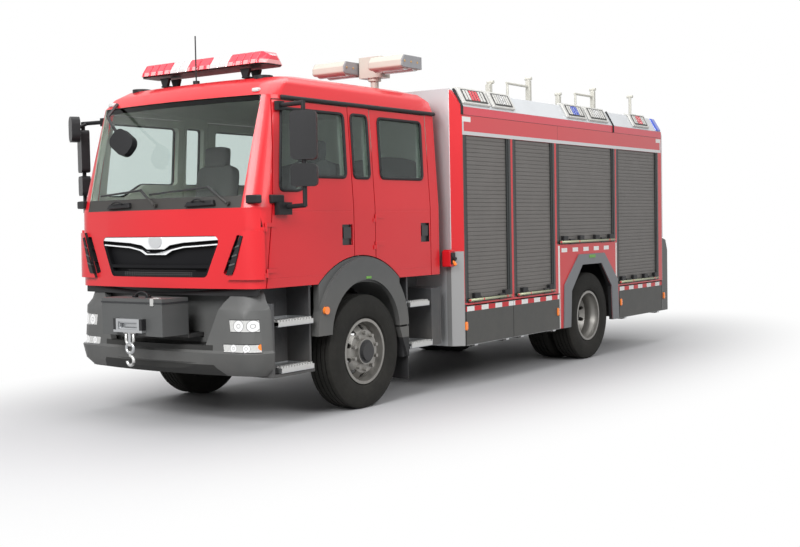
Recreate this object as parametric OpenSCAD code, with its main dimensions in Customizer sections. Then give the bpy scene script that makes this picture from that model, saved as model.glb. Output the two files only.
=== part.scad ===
// Crew-cab fire truck with roller-shutter lockers, a winch and a light mast.
// Left of the truck is +X, its nose points to -Y, and it stands on z = 0.
// Lengths are millimetres, and y is measured from the front axle inside each module.

/* [Wheels] */
// Distance between the axles
wheelbase = 4400; // [4300:10:4500]
// Outer diameter of a tyre
tyre_d = 1044; // [1020:2:1050]
// Width of a tyre at its sidewalls
tyre_w = 290; // [280:2:296]
// Diameter of a rim's bead seat
rim_d = 572; // [560:2:580]
// Distance between the middle planes of the front wheels
front_track = 1992; // [1980:2:2000]
// Distance between the middle planes of the outer rear wheels
rear_track = 2154; // [2140:2:2160]
// Distance between the two wheels of a rear pair
twin_pitch = 335; // [332:1:340]
// Distance of a king pin from its wheel's middle plane
king_offset = 116; // [112:1:122]
// Radius of a front stub axle
stub_r = 42; // [36:1:50]
// Radius of a rear axle end
axle_r = 60; // [50:1:70]
// Radius of a king pin
king_r = 22; // [18:1:28]
// Running clearance of pins and hubs
running_gap = 0.3; // [0.2:0.05:0.5]

/* [Frame] */
// Distance between the outer faces of the two rails
frame_w = 850; // [820:5:870]
// Height of a rail
rail_h = 270; // [250:5:290]
// Width of a rail's flange
rail_flange = 80; // [70:2:90]
// Thickness of a rail's metal
rail_t = 10; // [8:1:14]
// Height of the rails' upper face above the ground
frame_top_z = 1000; // [980:5:1010]

/* [Cab] */
// Width of the cab below the waist
cab_w = 2240; // [2200:10:2280]
// Distance from the front axle forward to the nose
cab_nose = 1500; // [1470:10:1530]
// Distance from the front axle back to the cab's rear wall
cab_tail = 1300; // [1290:5:1310]
// Height of the cab's lower edge
cab_bottom_z = 1170; // [1160:5:1180]
// Height of the waist, where the windscreen starts
waist_z = 1840; // [1820:5:1860]
// Height of the eaves, where the roof starts
eaves_z = 2785; // [2760:5:2800]
// Height of the roof's crown
roof_z = 3000; // [2980:5:3020]
// Thickness of the walls and doors
cab_wall = 70; // [60:2:76]
// How far the sides lean inwards from waist to eaves
tumble = 58; // [40:2:70]
// How far the nose bows back at its corners
nose_bow = 100; // [80:5:120]
// Radius of the nose's corners in plan
nose_r = 180; // [160:5:200]
// How far the windscreen leans back from waist to eaves
screen_rake = 240; // [200:10:260]
// Gap round the doors
door_gap = 10; // [8:1:12]
// Thickness of the glass
glass_t = 8; // [6:1:10]
// How deep the glass lies behind the skin
glass_inset = 12; // [8:1:20]

/* [Bumper] */
// Distance from the front axle forward to the bumper
bumper_nose = 1560; // [1550:5:1580]
// Width of the bumper
bumper_w = 2290; // [2260:5:2320]
// Height of the bumper's lower edge
bumper_bottom_z = 440; // [420:5:460]
// Height of the bumper's upper edge
bumper_top_z = 1050; // [1040:5:1060]
// Thickness of the bumper's shell
bumper_t = 60; // [50:2:70]
// Width of the winch box
winch_w = 740; // [700:10:780]
// Height of the winch box
winch_h = 315; // [280:5:330]
// Length of the winch box
winch_l = 300; // [280:5:320]

/* [Body] */
// Width of the equipment body
body_w = 2500; // [2460:10:2520]
// Distance from the front axle back to the body's front wall
body_y = 1420; // [1400:5:1440]
// Distance from the rear axle back to the body's rear wall
rear_overhang = 2160; // [2140:10:2200]
// Height of the body's lower edge
body_bottom_z = 430; // [410:5:450]
// Height of the body's side walls
body_top_z = 2850; // [2820:5:2880]
// Height of the sloped rim above the side walls
rim_rise = 180; // [160:5:200]
// How far that rim leans inwards
rim_lean = 100; // [80:5:120]
// Thickness of the body's walls
body_wall = 45; // [40:1:50]
// Length of the chamfer at the body's front corners
body_chamfer = 95; // [80:5:110]
// Height of the shutters' upper edge
shutter_top_z = 2565; // [2540:5:2580]
// Height of one shutter slat
slat_h = 42; // [36:1:60]
// Depth of the groove between slats
slat_groove = 4; // [3:0.5:6]
// Height of the fold-down side flaps
flap_h = 400; // [380:5:405]
// Gap round the flaps
flap_gap = 10; // [8:1:12]
// Length of the rear corner pods behind the rear wall
pod_l = 180; // [160:5:200]
// Width of a rear corner pod
pod_w = 360; // [340:5:380]

/* [Light mast] */
// Sideways place of the mast
mast_x = 284; // [260:2:300]
// Outer radius of the fixed mast tube
mast_r = 52; // [48:1:54]
// Height of the fixed tube's upper end
mast_top_z = 3090; // [3070:5:3100]
// Length of one pair of floodlights
flood_l = 400; // [360:10:420]

/* [Hidden] */
$fn = 48;

// A thin overlap that keeps cuts clean, and a length that passes through anything
eps = 1;
far = 12000;

// Overall reach, which places the origin under the middle of the truck
fairlead_l = 50;
winch_reach = 220;
body_tail = wheelbase + rear_overhang;
front_reach = bumper_nose + winch_reach + fairlead_l;
rear_reach = body_tail + pod_l;
origin_y = (rear_reach - front_reach) / 2;
hub_z = tyre_d / 2;

// Colours
red = "#c8152b";
plastic = "#3a3d40";
black = "#17181a";
steel = "#b9bcbe";
chassis_grey = "#2b2d30";

// Placing helpers
module at_axle() translate([0, -origin_y, 0]) children();
module both_sides() {
    children();
    mirror([1, 0, 0]) children();
}
module on_side(s) {
    if (s > 0) children();
    else mirror([1, 0, 0]) children();
}
// Extrudes a (y, z) outline along x from x0 to x1
module along_x(x0, x1) {
    translate([x0, 0, 0]) rotate([90, 0, 90]) linear_extrude(x1 - x0) children();
}
// Extrudes an (x, z) outline along y from y0 to y1
module along_y(y0, y1) {
    translate([0, y1, 0]) rotate([90, 0, 0]) linear_extrude(y1 - y0) children();
}
module block(x0, x1, y0, y1, z0, z1) {
    translate([x0, y0, z0]) cube([x1 - x0, y1 - y0, z1 - z0]);
}
module rod_x(x0, x1, y, z, r) translate([x0, y, z]) rotate([0, 90, 0]) cylinder(r = r, h = x1 - x0);
module rod_y(x, y0, y1, z, r) translate([x, y0, z]) rotate([-90, 0, 0]) cylinder(r = r, h = y1 - y0);
module rod_z(x, y, z0, z1, r) translate([x, y, z0]) cylinder(r = r, h = z1 - z0);
// A round rod between two points
module rod(p, q, r) {
    d = q - p;
    translate(p) rotate([0, acos(d.z / norm(d)), atan2(d.y, d.x)]) cylinder(r = r, h = norm(d));
}
module rounded(r) offset(r) offset(-r) children();

// Lofted shells
// One plan ring: bowed front edge, round front corners and small rear corners, anticlockwise
ring_bow_steps = 6;
ring_corner_steps = 5;
rear_corner_steps = 1;
function bow_y(x, front, half, bow) = front + bow * pow(x / half, 2);
function plan_ring(front, rear, half, corner, rear_r, bow) =
    let (flat = half - corner, side_y = bow_y(flat, front, half, bow))
    concat(
        [for (i = [0 : ring_bow_steps])
            let (x = flat * (2 * i / ring_bow_steps - 1)) [x, bow_y(x, front, half, bow)]],
        [for (i = [1 : ring_corner_steps])
            let (a = 90 * i / ring_corner_steps)
            [flat + corner * sin(a), side_y + corner * (1 - cos(a))]],
        [for (i = [0 : rear_corner_steps])
            let (a = 90 * i / rear_corner_steps)
            [half - rear_r * (1 - cos(a)), rear - rear_r * (1 - sin(a))]],
        [for (i = [rear_corner_steps : -1 : 0])
            let (a = 90 * i / rear_corner_steps)
            [rear_r * (1 - cos(a)) - half, rear - rear_r * (1 - sin(a))]],
        [for (i = [ring_corner_steps : -1 : 1])
            let (a = 90 * i / ring_corner_steps)
            [-flat - corner * sin(a), side_y + corner * (1 - cos(a))]]);
// Joins rings of equal length at the given heights into one closed solid
module loft(rings, heights) {
    n = len(rings[0]);
    top = len(rings) - 1;
    points = [for (k = [0 : top]) for (p = rings[k]) [p.x, p.y, heights[k]]];
    walls = [for (k = [0 : top - 1]) for (j = [0 : n - 1])
        let (a = k * n + j, b = k * n + (j + 1) % n) each [[a, a + n, b + n], [a, b + n, b]]];
    floor_face = [[for (j = [0 : n - 1]) j]];
    roof_face = [[for (j = [n - 1 : -1 : 0]) top * n + j]];
    polyhedron(points, concat(floor_face, walls, roof_face));
}

// Cab levels: height, setback of the front, setback of the rear, narrowing of each side
cab_rear_r = 40;
roof_rise = roof_z - eaves_z;
cab_levels = [
    [cab_bottom_z, 0, 0, 0],
    [waist_z, 10, 0, 0],
    [eaves_z, 10 + screen_rake, 0, tumble],
    [eaves_z + 0.45 * roof_rise, screen_rake + 100, 15, tumble + 30],
    [eaves_z + 0.78 * roof_rise, screen_rake + 230, 120, tumble + 90],
    [eaves_z + 0.94 * roof_rise, screen_rake + 430, 330, tumble + 200],
    [roof_z, screen_rake + 740, 620, tumble + 430]];
function cab_ring(level, inset) =
    plan_ring(level[1] - cab_nose + inset, cab_tail - level[2] - inset, cab_w / 2 - level[3] - inset,
        max(nose_r - inset, 60), cab_rear_r, nose_bow);
// The cab's outer form, shrunk by inset on every side but the bottom
module cab_form(inset = 0) {
    heights = [for (v = cab_levels)
        v[0] - (v[0] > eaves_z ? inset : 0) - (v[0] < waist_z && inset > 0 ? eps : 0)];
    loft([for (v = cab_levels) cab_ring(v, inset)], heights);
}
module cab_layer(outer, inner) {
    difference() {
        cab_form(outer);
        cab_form(inner);
    }
}
// The cab's front face at x and z, between waist and eaves
function screen_y(x, z) = bow_y(x, 10 - cab_nose + screen_rake * (z - waist_z) / (eaves_z - waist_z),
    cab_w / 2, nose_bow);

// Cab outlines, seen from the side (y, z)
a_line_y0 = -1316;
a_line_slope = 0.125;
function a_line(z) = a_line_y0 + a_line_slope * (z - cab_bottom_z);
front_door_y1 = -122;
rear_door_y0 = 192;
rear_door_y1 = 1116;
door_top_z = eaves_z - 45;
back_y = cab_tail - cab_wall;
// Front arch: a round lip on a wider base that the doors are cut round
arch_mid = [-15, hub_z + 178];
arch_r = 682;
arch_base_r = 913;
arch_base_y = [-650, 560];
arch_top_z = 1395;
arch_front_z = 720;
arch_rear_z = 410;
arch_rear_y = arch_mid.x + arch_r - 5;
arch_out_x = cab_w / 2 + 30;
arch_skin_x = cab_w / 2 + 2;
arch_lip_x = cab_w / 2 - 20;
arch_in_x = cab_w / 2 - 60;
arch_liner_x = cab_w / 2 - 400;
// Half width and height of the lip's opening and of the liner behind it
arch_lip_a = 510;
arch_lip_b = 480;
arch_liner_a = 590;
arch_liner_b = 460;
arch_sides_n = 36;
module arch_lip() {
    difference() {
        translate(arch_mid) circle(r = arch_r, $fn = 96);
        translate([-far, -far]) square([2 * far, far + arch_front_z]);
    }
    translate([arch_mid.x, arch_rear_z]) square([arch_rear_y - arch_mid.x, arch_mid.y - arch_rear_z + eps]);
}
module arch_base(grow = 0) {
    intersection() {
        translate([arch_mid.x - 25, arch_top_z - arch_base_r]) circle(r = arch_base_r + grow, $fn = 96);
        translate([arch_base_y[0] - grow, arch_front_z + 180])
            square([arch_base_y[1] - arch_base_y[0] + 2 * grow, far]);
    }
}
// An opening with a half ellipse above the arch's middle and legs that spread to the ground
module arch_opening(a, b, spread) {
    polygon(concat(
        [for (i = [0 : arch_sides_n])
            let (t = 180 * i / arch_sides_n)
            [a * cos(t), arch_mid.y + b * sin(t)]],
        [[-a - spread, 0], [a + spread, 0]]));
}
module arch_lip_opening() translate([5, 0]) arch_opening(arch_lip_a, arch_lip_b, 300);
module arch_liner_opening(grow = 0) arch_opening(arch_liner_a + grow, arch_liner_b + grow, 0);
module front_door_outline() {
    polygon([[a_line(cab_bottom_z) + door_gap, cab_bottom_z], [front_door_y1 - door_gap, cab_bottom_z],
        [front_door_y1 - door_gap, door_top_z], [a_line(door_top_z) + door_gap, door_top_z]]);
}
module rear_door_outline() {
    polygon([[rear_door_y0 + door_gap, cab_bottom_z], [rear_door_y1 - door_gap, cab_bottom_z],
        [rear_door_y1 - door_gap, door_top_z], [rear_door_y0 + door_gap, door_top_z]]);
}
window_top_z = eaves_z - 112;
window_sill_z = waist_z + 265;
window_low_z = waist_z + 142;
module front_window_outline() {
    rounded(45) polygon([[a_line(window_low_z) + 95, window_low_z], [-860, window_low_z],
        [-640, window_sill_z], [front_door_y1 - 88, window_sill_z], [front_door_y1 - 78, window_top_z],
        [a_line(window_top_z) + 90, window_top_z]]);
}
module pillar_window_outline() {
    rounded(30) polygon([[-95, window_sill_z], [145, window_sill_z], [150, window_top_z + 5],
        [-90, window_top_z + 5]]);
}
module rear_window_outline() {
    rounded(45) polygon([[315, window_sill_z + 5], [1005, window_sill_z + 5], [1025, window_top_z - 5],
        [320, window_top_z - 5]]);
}
// Windscreen, seen from the front (x, z), between waist and eaves
screen_w0 = cab_w / 2 - 175;
screen_w1 = cab_w / 2 - 154;
module screen_outline() {
    polygon([[-screen_w0, waist_z], [screen_w0, waist_z], [screen_w1, eaves_z], [-screen_w1, eaves_z]]);
}
module screen_cut() along_y(-far, -cab_nose + screen_rake + 400) screen_outline();

// Grille outline, seen from the front
grille_top_z = 1611;
grille_bottom_z = 1262;
grille_top_w = cab_w / 2 - 381;
grille_bottom_w = cab_w / 2 - 539;
grille_corner_r = 50;
module grille_outline() {
    rounded(grille_corner_r) polygon([[-grille_bottom_w, grille_bottom_z], [grille_bottom_w, grille_bottom_z],
        [grille_top_w, grille_top_z], [-grille_top_w, grille_top_z]]);
}
// The wing across the grille's top, with a blank shield in its middle
wing_h = 36;
shield_w = 108;
shield_h = 114;
module wing_outline() both_sides_2d() polygon([[0, grille_top_z], [grille_top_w, grille_top_z],
    [grille_top_w - wing_h / 2, grille_top_z - wing_h], [3 * shield_w, grille_top_z - 1.6 * wing_h],
    [1.6 * shield_w, grille_top_z - 2.2 * wing_h], [shield_w, grille_top_z - shield_h],
    [0, grille_top_z - shield_h]]);
// A thin blade that follows the wing below it
blade_t = 14;
blade_drop = 34;
module blade_outline() intersection() {
    difference() {
        translate([0, -blade_drop]) wing_outline();
        translate([0, blade_t - blade_drop]) wing_outline();
    }
    translate([-far, 0]) square([2 * far, grille_top_z - wing_h]);
}
// Slanted vents beside the grille
vent_top = [cab_w / 2 - 156, 1615];
vent_bottom = [cab_w / 2 - 321, 1281];
vent_w = 62;
vent_lean = 20;
vent_corner_r = 14;
module vent_outline() {
    rounded(vent_corner_r) polygon([[vent_top.x - vent_w, vent_top.y], vent_top,
        [vent_bottom.x + vent_lean, vent_bottom.y],
        [vent_bottom.x - vent_w + vent_lean, vent_bottom.y + vent_corner_r]]);
}
module nose_cut() along_y(-far, -cab_nose + 400) children();

// Chassis
rail_x = frame_w / 2;
frame_front_y = -1240;
frame_rear_y = body_tail - 210;
rail_bottom_z = frame_top_z - rail_h;
front_cross_y = frame_front_y + 90;
crossmembers = [front_cross_y, cab_tail - 320, body_y + 80, wheelbase - 1800, wheelbase - 900,
    wheelbase + 780, frame_rear_y - 60];
crossmember_r = 45;
crossmember_z = frame_top_z - 75;

module frame() at_axle() color(chassis_grey) {
    both_sides() difference() {
        block(rail_x - rail_flange, rail_x, frame_front_y, frame_rear_y, rail_bottom_z, frame_top_z);
        block(rail_x - rail_flange - eps, rail_x - rail_t, frame_front_y - eps, frame_rear_y + eps,
            rail_bottom_z + rail_t, frame_top_z - rail_t);
    }
    for (y = crossmembers) rod_x(-rail_x + rail_t / 2, rail_x - rail_t / 2, y, crossmember_z, crossmember_r);
    // Winch tray ahead of the rails, and the beam under the tail
    block(-rail_x, rail_x, frame_front_y - tray_t, frame_front_y, rail_bottom_z, frame_top_z);
    block(-winch_w / 2, winch_w / 2, winch_back_y, frame_front_y - tray_t + eps, winch_z - tray_t, winch_z);
    both_sides() along_x(rail_x - rail_t, rail_x) polygon([[frame_rear_y - 160, rail_bottom_z + rail_t],
        [frame_rear_y - 160, tail_beam_z + tail_beam_h], [frame_rear_y - 60, tail_beam_z],
        [tail_beam_y + eps, tail_beam_z], [tail_beam_y + eps, tail_beam_z + tail_beam_h],
        [frame_rear_y, tail_beam_z + tail_beam_h], [frame_rear_y, rail_bottom_z + rail_t]]);
    block(-tail_beam_w / 2, tail_beam_w / 2, tail_beam_y, tail_beam_y + tail_beam_l, tail_beam_z,
        tail_beam_z + tail_beam_h);
    // Cab mounts on the rails
    both_sides() for (y = cab_mount_ys)
        block(rail_x - rail_flange, rail_x, y - cab_mount_l / 2, y + cab_mount_l / 2, frame_top_z - eps,
            cab_bottom_z);
}
tray_t = 30;
tail_gap = 20;
tail_beam_w = body_w - 2 * pod_w - 2 * tail_gap;
tail_beam_l = 90;
cab_mount_l = 120;
tail_beam_z = 450;
tail_beam_h = 120;
tail_beam_y = body_tail + tail_gap;
cab_mount_ys = [-cab_nose + 370, cab_tail - 120];

// Leaf springs, as a cambered outline
spring_w = 75;
spring_steps = 10;
module leaf_pack(half_l, mid_z, end_z, mid_t, end_t) {
    function lift(u) = (end_z - mid_z) * u * u;
    function thick(u) = mid_t + (end_t - mid_t) * abs(u);
    us = [for (i = [0 : spring_steps]) 2 * i / spring_steps - 1];
    polygon(concat([for (u = us) [u * half_l, mid_z + lift(u) - thick(u)]],
        [for (i = [spring_steps : -1 : 0]) [us[i] * half_l, mid_z + lift(us[i])]]));
}
spring_x = rail_x - rail_flange / 2;
king_x = front_track / 2 - king_offset;
yoke_h = 100;
beam_z = hub_z - 72;
beam_h = 90;
front_spring_z = rail_bottom_z - 95;

module front_axle() at_axle() color(chassis_grey) {
    difference() {
        union() {
            block(-620, 620, -45, 45, beam_z - beam_h / 2, beam_z + beam_h / 2);
            both_sides() {
                along_y(-42, 42) polygon([[600, beam_z - beam_h / 2], [king_x - 20, hub_z - 38],
                    [king_x - 20, hub_z + 38], [600, beam_z + beam_h / 2]]);
                rod_z(king_x, 0, hub_z - yoke_h / 2, hub_z + yoke_h / 2, 46);
                // Spring seat
                block(spring_x - 50, spring_x + 50, -90, 90, beam_z + beam_h / 2 - eps, front_spring_z - 62);
                along_x(spring_x - spring_w / 2, spring_x + spring_w / 2)
                    leaf_pack(820, front_spring_z, rail_bottom_z, 64, 22);
            }
        }
        both_sides() rod_z(king_x, 0, hub_z - yoke_h, hub_z + yoke_h, king_r + running_gap);
    }
}

rear_mid_x = rear_track / 2 - twin_pitch / 2;
rear_spring_z = rail_bottom_z - 45;
rear_tube_r = 75;
module rear_axle() at_axle() translate([0, wheelbase, 0]) color(chassis_grey) {
    translate([0, 0, hub_z]) sphere(r = 215);
    rod_x(-650, 650, 0, hub_z, rear_tube_r);
    rod_x(-rear_mid_x - 100, rear_mid_x + 100, 0, hub_z, axle_r);
    rod_y(0, -290, 0, hub_z, 90);
    both_sides() {
        block(spring_x - 50, spring_x + 50, -110, 110, hub_z, rear_spring_z - 62);
        along_x(spring_x - spring_w / 2, spring_x + spring_w / 2)
            leaf_pack(760, rear_spring_z, rail_bottom_z, 64, 26);
    }
}

engine_x = rail_x - rail_flange - 20;
shaft_y0 = 880;
shaft_z0 = 760;
module drivetrain() at_axle() color("#55585b") {
    difference() {
        along_y(-1080, 180) polygon([[-engine_x, 720], [-engine_x + 90, 560], [engine_x - 90, 560],
            [engine_x, 720], [engine_x, cab_bottom_z - 60], [-engine_x, cab_bottom_z - 60]]);
        // Room for the crossmember that passes ahead of the block
        block(-far, far, -far, front_cross_y + crossmember_r + 40, 0, far);
    }
    rod_y(0, 180 - eps, 470, shaft_z0, 210);
    rod_y(0, 470 - eps, shaft_y0, shaft_z0, 150);
    rod([0, shaft_y0 - eps, shaft_z0], [0, wheelbase - 295, hub_z + 6], 48);
    // Engine mounts on the rails
    both_sides() for (y = [-820, -60])
        block(engine_x - eps, rail_x - rail_t, y - 40, y + 40, rail_bottom_z + 60, rail_bottom_z + 120);
}

jaw_pin_r = 20;
jaw_z = rail_bottom_z + 130;
jaw_y = frame_rear_y + 120;
module tow_jaw() at_axle() color(black) {
    difference() {
        union() {
            block(-90, 90, frame_rear_y - 15, frame_rear_y + 30, jaw_z - 90, jaw_z + 90);
            for (z = [jaw_z - 70, jaw_z + 40]) {
                block(-50, 50, frame_rear_y + 29, jaw_y, z, z + 30);
                rod_z(0, jaw_y, z, z + 30, 50);
            }
        }
        rod_z(0, jaw_y, jaw_z - 200, jaw_z + 200, jaw_pin_r);
    }
}

// Steering knuckles: yoke, king pin and stub axle
knuckle_web = 60;
stub_l = 250;
module knuckle() {
    gap = 2;
    arm_z = yoke_h / 2 + gap;
    arm_t = 32;
    translate([king_x, 0, hub_z]) {
        translate([0, 0, -arm_z - arm_t]) cylinder(r = king_r, h = 2 * (arm_z + arm_t));
        for (z = [-arm_z - arm_t, arm_z]) {
            translate([0, 0, z]) cylinder(r = 44, h = arm_t);
            block(0, knuckle_web + 30, -44, 44, z, z + arm_t);
        }
        block(knuckle_web, knuckle_web + 30, -44, 44, -arm_z - arm_t, arm_z + arm_t);
        rod_x(knuckle_web + 30 - eps, stub_l, 0, 0, stub_r);
        rod_x(knuckle_web + 30 - eps, knuckle_web + 50, 0, 0, 110);
    }
}
module knuckle_left() at_axle() color(chassis_grey) on_side(1) knuckle();
module knuckle_right() at_axle() color(chassis_grey) on_side(-1) knuckle();

// Wheels, revolved about the axle: profiles are (radius, outward offset)
tread_grooves = [-72, -24, 24, 72];
groove_w = 11;
groove_d = 13;
bead_x = tyre_w / 2 - 33;
flange_h = 14;
module tyre_profile() {
    r0 = rim_d / 2 + running_gap;
    r1 = tyre_d / 2;
    w = tyre_w / 2;
    difference() {
        polygon([[r0, -bead_x], [r0 + flange_h + 4, -bead_x], [r0 + 35, -w + 12], [r0 + 80, -w],
            [r0 + 135, -w + 1], [r1 - 45, -w + 10], [r1 - 18, -w + 19], [r1 - 5, -w + 28], [r1, -w + 42],
            [r1, w - 42], [r1 - 5, w - 28], [r1 - 18, w - 19], [r1 - 45, w - 10], [r0 + 135, w - 1],
            [r0 + 80, w], [r0 + 35, w - 12], [r0 + flange_h + 4, bead_x], [r0, bead_x]]);
        for (g = tread_grooves)
            translate([r1 - groove_d, g - groove_w / 2]) square([groove_d + eps, groove_w]);
    }
}
module revolve_x() rotate([0, 90, 0]) rotate_extrude($fn = 96) children();
module tyre() revolve_x() tyre_profile();

barrel_t = 12;
module barrel_profile() {
    r = rim_d / 2;
    b = bead_x + running_gap;
    polygon([[r - barrel_t, -b - 12], [r + flange_h, -b - 12], [r + flange_h, -b], [r, -b], [r, -b + 30],
        [r - 26, -40], [r - 26, 20], [r, b - 30], [r, b], [r + flange_h, b], [r + flange_h, b + 12],
        [r - barrel_t, b + 12], [r - barrel_t, b - 26], [r - 38, 26], [r - 38, -46],
        [r - barrel_t, -b + 26]]);
}
nut_circle_r = 168;
nut_count = 10;
nut_r = 17;
hub_r = 118;
hand_hole_r = 24;
// A wheel disc from the barrel at offset a to its bolting face at offset f
module disc_profile(a, f, bore) {
    t = f > a ? 14 : -14;
    r = rim_d / 2 - 30;
    polygon([[bore, f], [nut_circle_r + 28, f], [r, a], [r, a - t], [nut_circle_r + 20, f - t],
        [bore, f - t]]);
}
module ring_of(n, r) {
    for (i = [0 : n - 1]) rotate([360 * (i + 0.5) / n, 0, 0]) translate([0, r, 0]) children();
}
front_face = 108;
module front_rim_solid() {
    difference() {
        union() {
            revolve_x() barrel_profile();
            revolve_x() disc_profile(40, front_face, stub_r);
            rod_x(front_face - 110, front_face + 34, 0, 0, hub_r);
            rod_x(front_face + 30, front_face + 58, 0, 0, 82);
            ring_of(nut_count, nut_circle_r) rod_x(front_face - eps, front_face + 34, 0, 0, nut_r);
        }
        ring_of(nut_count, 218) rod_x(0, far, 0, 0, hand_hole_r);
        rod_x(-far, stub_l - king_offset + running_gap, 0, 0, stub_r + running_gap);
    }
}
module rear_rim_solid() {
    p = twin_pitch / 2;
    difference() {
        union() {
            for (s = [-p, p]) translate([s, 0, 0]) revolve_x() barrel_profile();
            revolve_x() disc_profile(p - 50, 14, axle_r);
            revolve_x() disc_profile(50 - p, -14, axle_r);
            revolve_x() polygon([[axle_r, -14], [nut_circle_r + 28, -14], [nut_circle_r + 28, 14],
                [axle_r, 14]]);
            rod_x(-60, 95, 0, 0, hub_r);
            rod_x(94, 122, 0, 0, hub_r - 22);
            ring_of(nut_count, nut_circle_r) rod_x(14 - eps, 48, 0, 0, nut_r);
        }
        ring_of(nut_count, 218) rod_x(-far, far, 0, 0, hand_hole_r);
        rod_x(-far, 100 + running_gap, 0, 0, axle_r + running_gap);
    }
}
module front_wheel_at(s) on_side(s) translate([front_track / 2, 0, hub_z]) children();
module rear_wheel_at(s) on_side(s) translate([rear_mid_x, wheelbase, hub_z]) children();
module twin_tyres() for (x = [-twin_pitch / 2, twin_pitch / 2]) translate([x, 0, 0]) tyre();
module rim_front_left() at_axle() color(steel) front_wheel_at(1) front_rim_solid();
module rim_front_right() at_axle() color(steel) front_wheel_at(-1) front_rim_solid();
module rim_rear_left() at_axle() color(steel) rear_wheel_at(1) rear_rim_solid();
module rim_rear_right() at_axle() color(steel) rear_wheel_at(-1) rear_rim_solid();
module tyre_front_left() at_axle() color(black) front_wheel_at(1) tyre();
module tyre_front_right() at_axle() color(black) front_wheel_at(-1) tyre();
module tyre_rear_left() at_axle() color(black) rear_wheel_at(1) twin_tyres();
module tyre_rear_right() at_axle() color(black) rear_wheel_at(-1) twin_tyres();

// Bumper levels: height, setback of the front, narrowing of each side
bumper_rear_y = -1262;
bumper_corner_r = 230;
bumper_neck_z = bumper_top_z + 95;
bumper_levels = [
    [bumper_bottom_z, 80, 60],
    [bumper_bottom_z + 70, 25, 15],
    [bumper_bottom_z + 195, 0, 0],
    [bumper_bottom_z + 215, 22, 16],
    [bumper_top_z - 60, 40, 28],
    [bumper_top_z, 78, 60],
    [bumper_neck_z, 110, 75]];
module bumper_form(inset = 0) {
    top = len(bumper_levels) - 1;
    loft([for (v = bumper_levels) plan_ring(v[1] + inset - bumper_nose, -1000,
        bumper_w / 2 - v[2] - inset, max(bumper_corner_r - inset, 60), 20, nose_bow + 25)],
        [for (k = [0 : top]) bumper_levels[k][0] + (inset > 0 && k == 0 ? -eps : 0)
            + (inset > 0 && k == top ? eps : 0)]);
}
module bumper_layer(outer, inner) {
    difference() {
        bumper_form(outer);
        bumper_form(inner);
        block(-far, far, bumper_rear_y, far, 0, far);
    }
}
// The gap between the corner modules, and the recess in the valance below it, seen from the front
bumper_gap_z = bumper_bottom_z + 255;
bumper_gap_w = 585;
bumper_neck_w = 800;
module bumper_gap() polygon([[-bumper_gap_w, bumper_gap_z], [bumper_gap_w, bumper_gap_z],
    [bumper_gap_w + 145, bumper_top_z], [bumper_neck_w, bumper_neck_z - 20], [bumper_neck_w, far],
    [-bumper_neck_w, far], [-bumper_neck_w, bumper_neck_z - 20], [-bumper_gap_w - 145, bumper_top_z]]);
recess_h = 110;
recess_w = 640;
recess_d = 22;
module valance_recess() polygon([[-recess_w, 0], [recess_w, 0], [recess_w, bumper_bottom_z],
    [recess_w - 160, bumper_bottom_z + recess_h], [160 - recess_w, bumper_bottom_z + recess_h],
    [-recess_w, bumper_bottom_z]]);
// A panel behind the gap, notched round the winch tray
gap_panel_y = frame_front_y - tray_t - 25;
gap_panel_t = 15;
module gap_panel() along_y(gap_panel_y - gap_panel_t, gap_panel_y) difference() {
    polygon([[-bumper_neck_w - 40, bumper_gap_z - 60], [bumper_neck_w + 40, bumper_gap_z - 60],
        [bumper_neck_w + 40, bumper_neck_z - 10], [-bumper_neck_w - 40, bumper_neck_z - 10]]);
    translate([-winch_w / 2 - 10, winch_z - tray_t - 10]) square([winch_w + 20, tray_t + 15]);
}
headlamp_z = [808, 918];
foglamp_z = [640, 716];
headlamp_x = 812;
foglamp_x = 755;
lamp_end_y = bumper_rear_y - 95;
lamp_corner_r = 16;
module lamp_outline(x, zs) {
    rounded(lamp_corner_r) polygon([[x + lamp_corner_r, zs[0]], [far, zs[0]], [far, zs[1]], [x, zs[1]]]);
}
module lamp_cuts() along_y(-far, lamp_end_y) both_sides_2d() {
    lamp_outline(headlamp_x, headlamp_z);
    lamp_outline(foglamp_x, foglamp_z);
}
module bumper() at_axle() color(plastic) {
    difference() {
        bumper_layer(0, bumper_t);
        along_y(-far, 0) bumper_gap();
        along_y(-far, recess_d - bumper_nose + 25) valance_recess();
        lamp_cuts();
    }
    gap_panel();
}

// Lamps: head and fog lamps, side markers and tail lamps
marker_y = -600;
marker_z = 940;
tail_lamp_n = 4;
tail_lamp_r = 60;
tail_lamp_pitch = 135;
tail_lamp_z = 700;
tail_lamp_d = 40;
tail_lamp_x = body_w / 2 - 195;
lamp_inset = 6;
marker_r = 34;
marker_h = 24;
module lamps() at_axle() color("#e9e6dc") {
    intersection() {
        bumper_layer(lamp_inset, bumper_t - lamp_inset);
        lamp_cuts();
    }
    both_sides() {
        rod_x(arch_out_x, arch_out_x + marker_h, marker_y, marker_z, marker_r);
        for (i = [0 : tail_lamp_n - 1])
            rod_y(tail_lamp_x, rear_reach - tail_lamp_d, rear_reach - 4, tail_lamp_z + i * tail_lamp_pitch,
                tail_lamp_r);
    }
}

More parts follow.
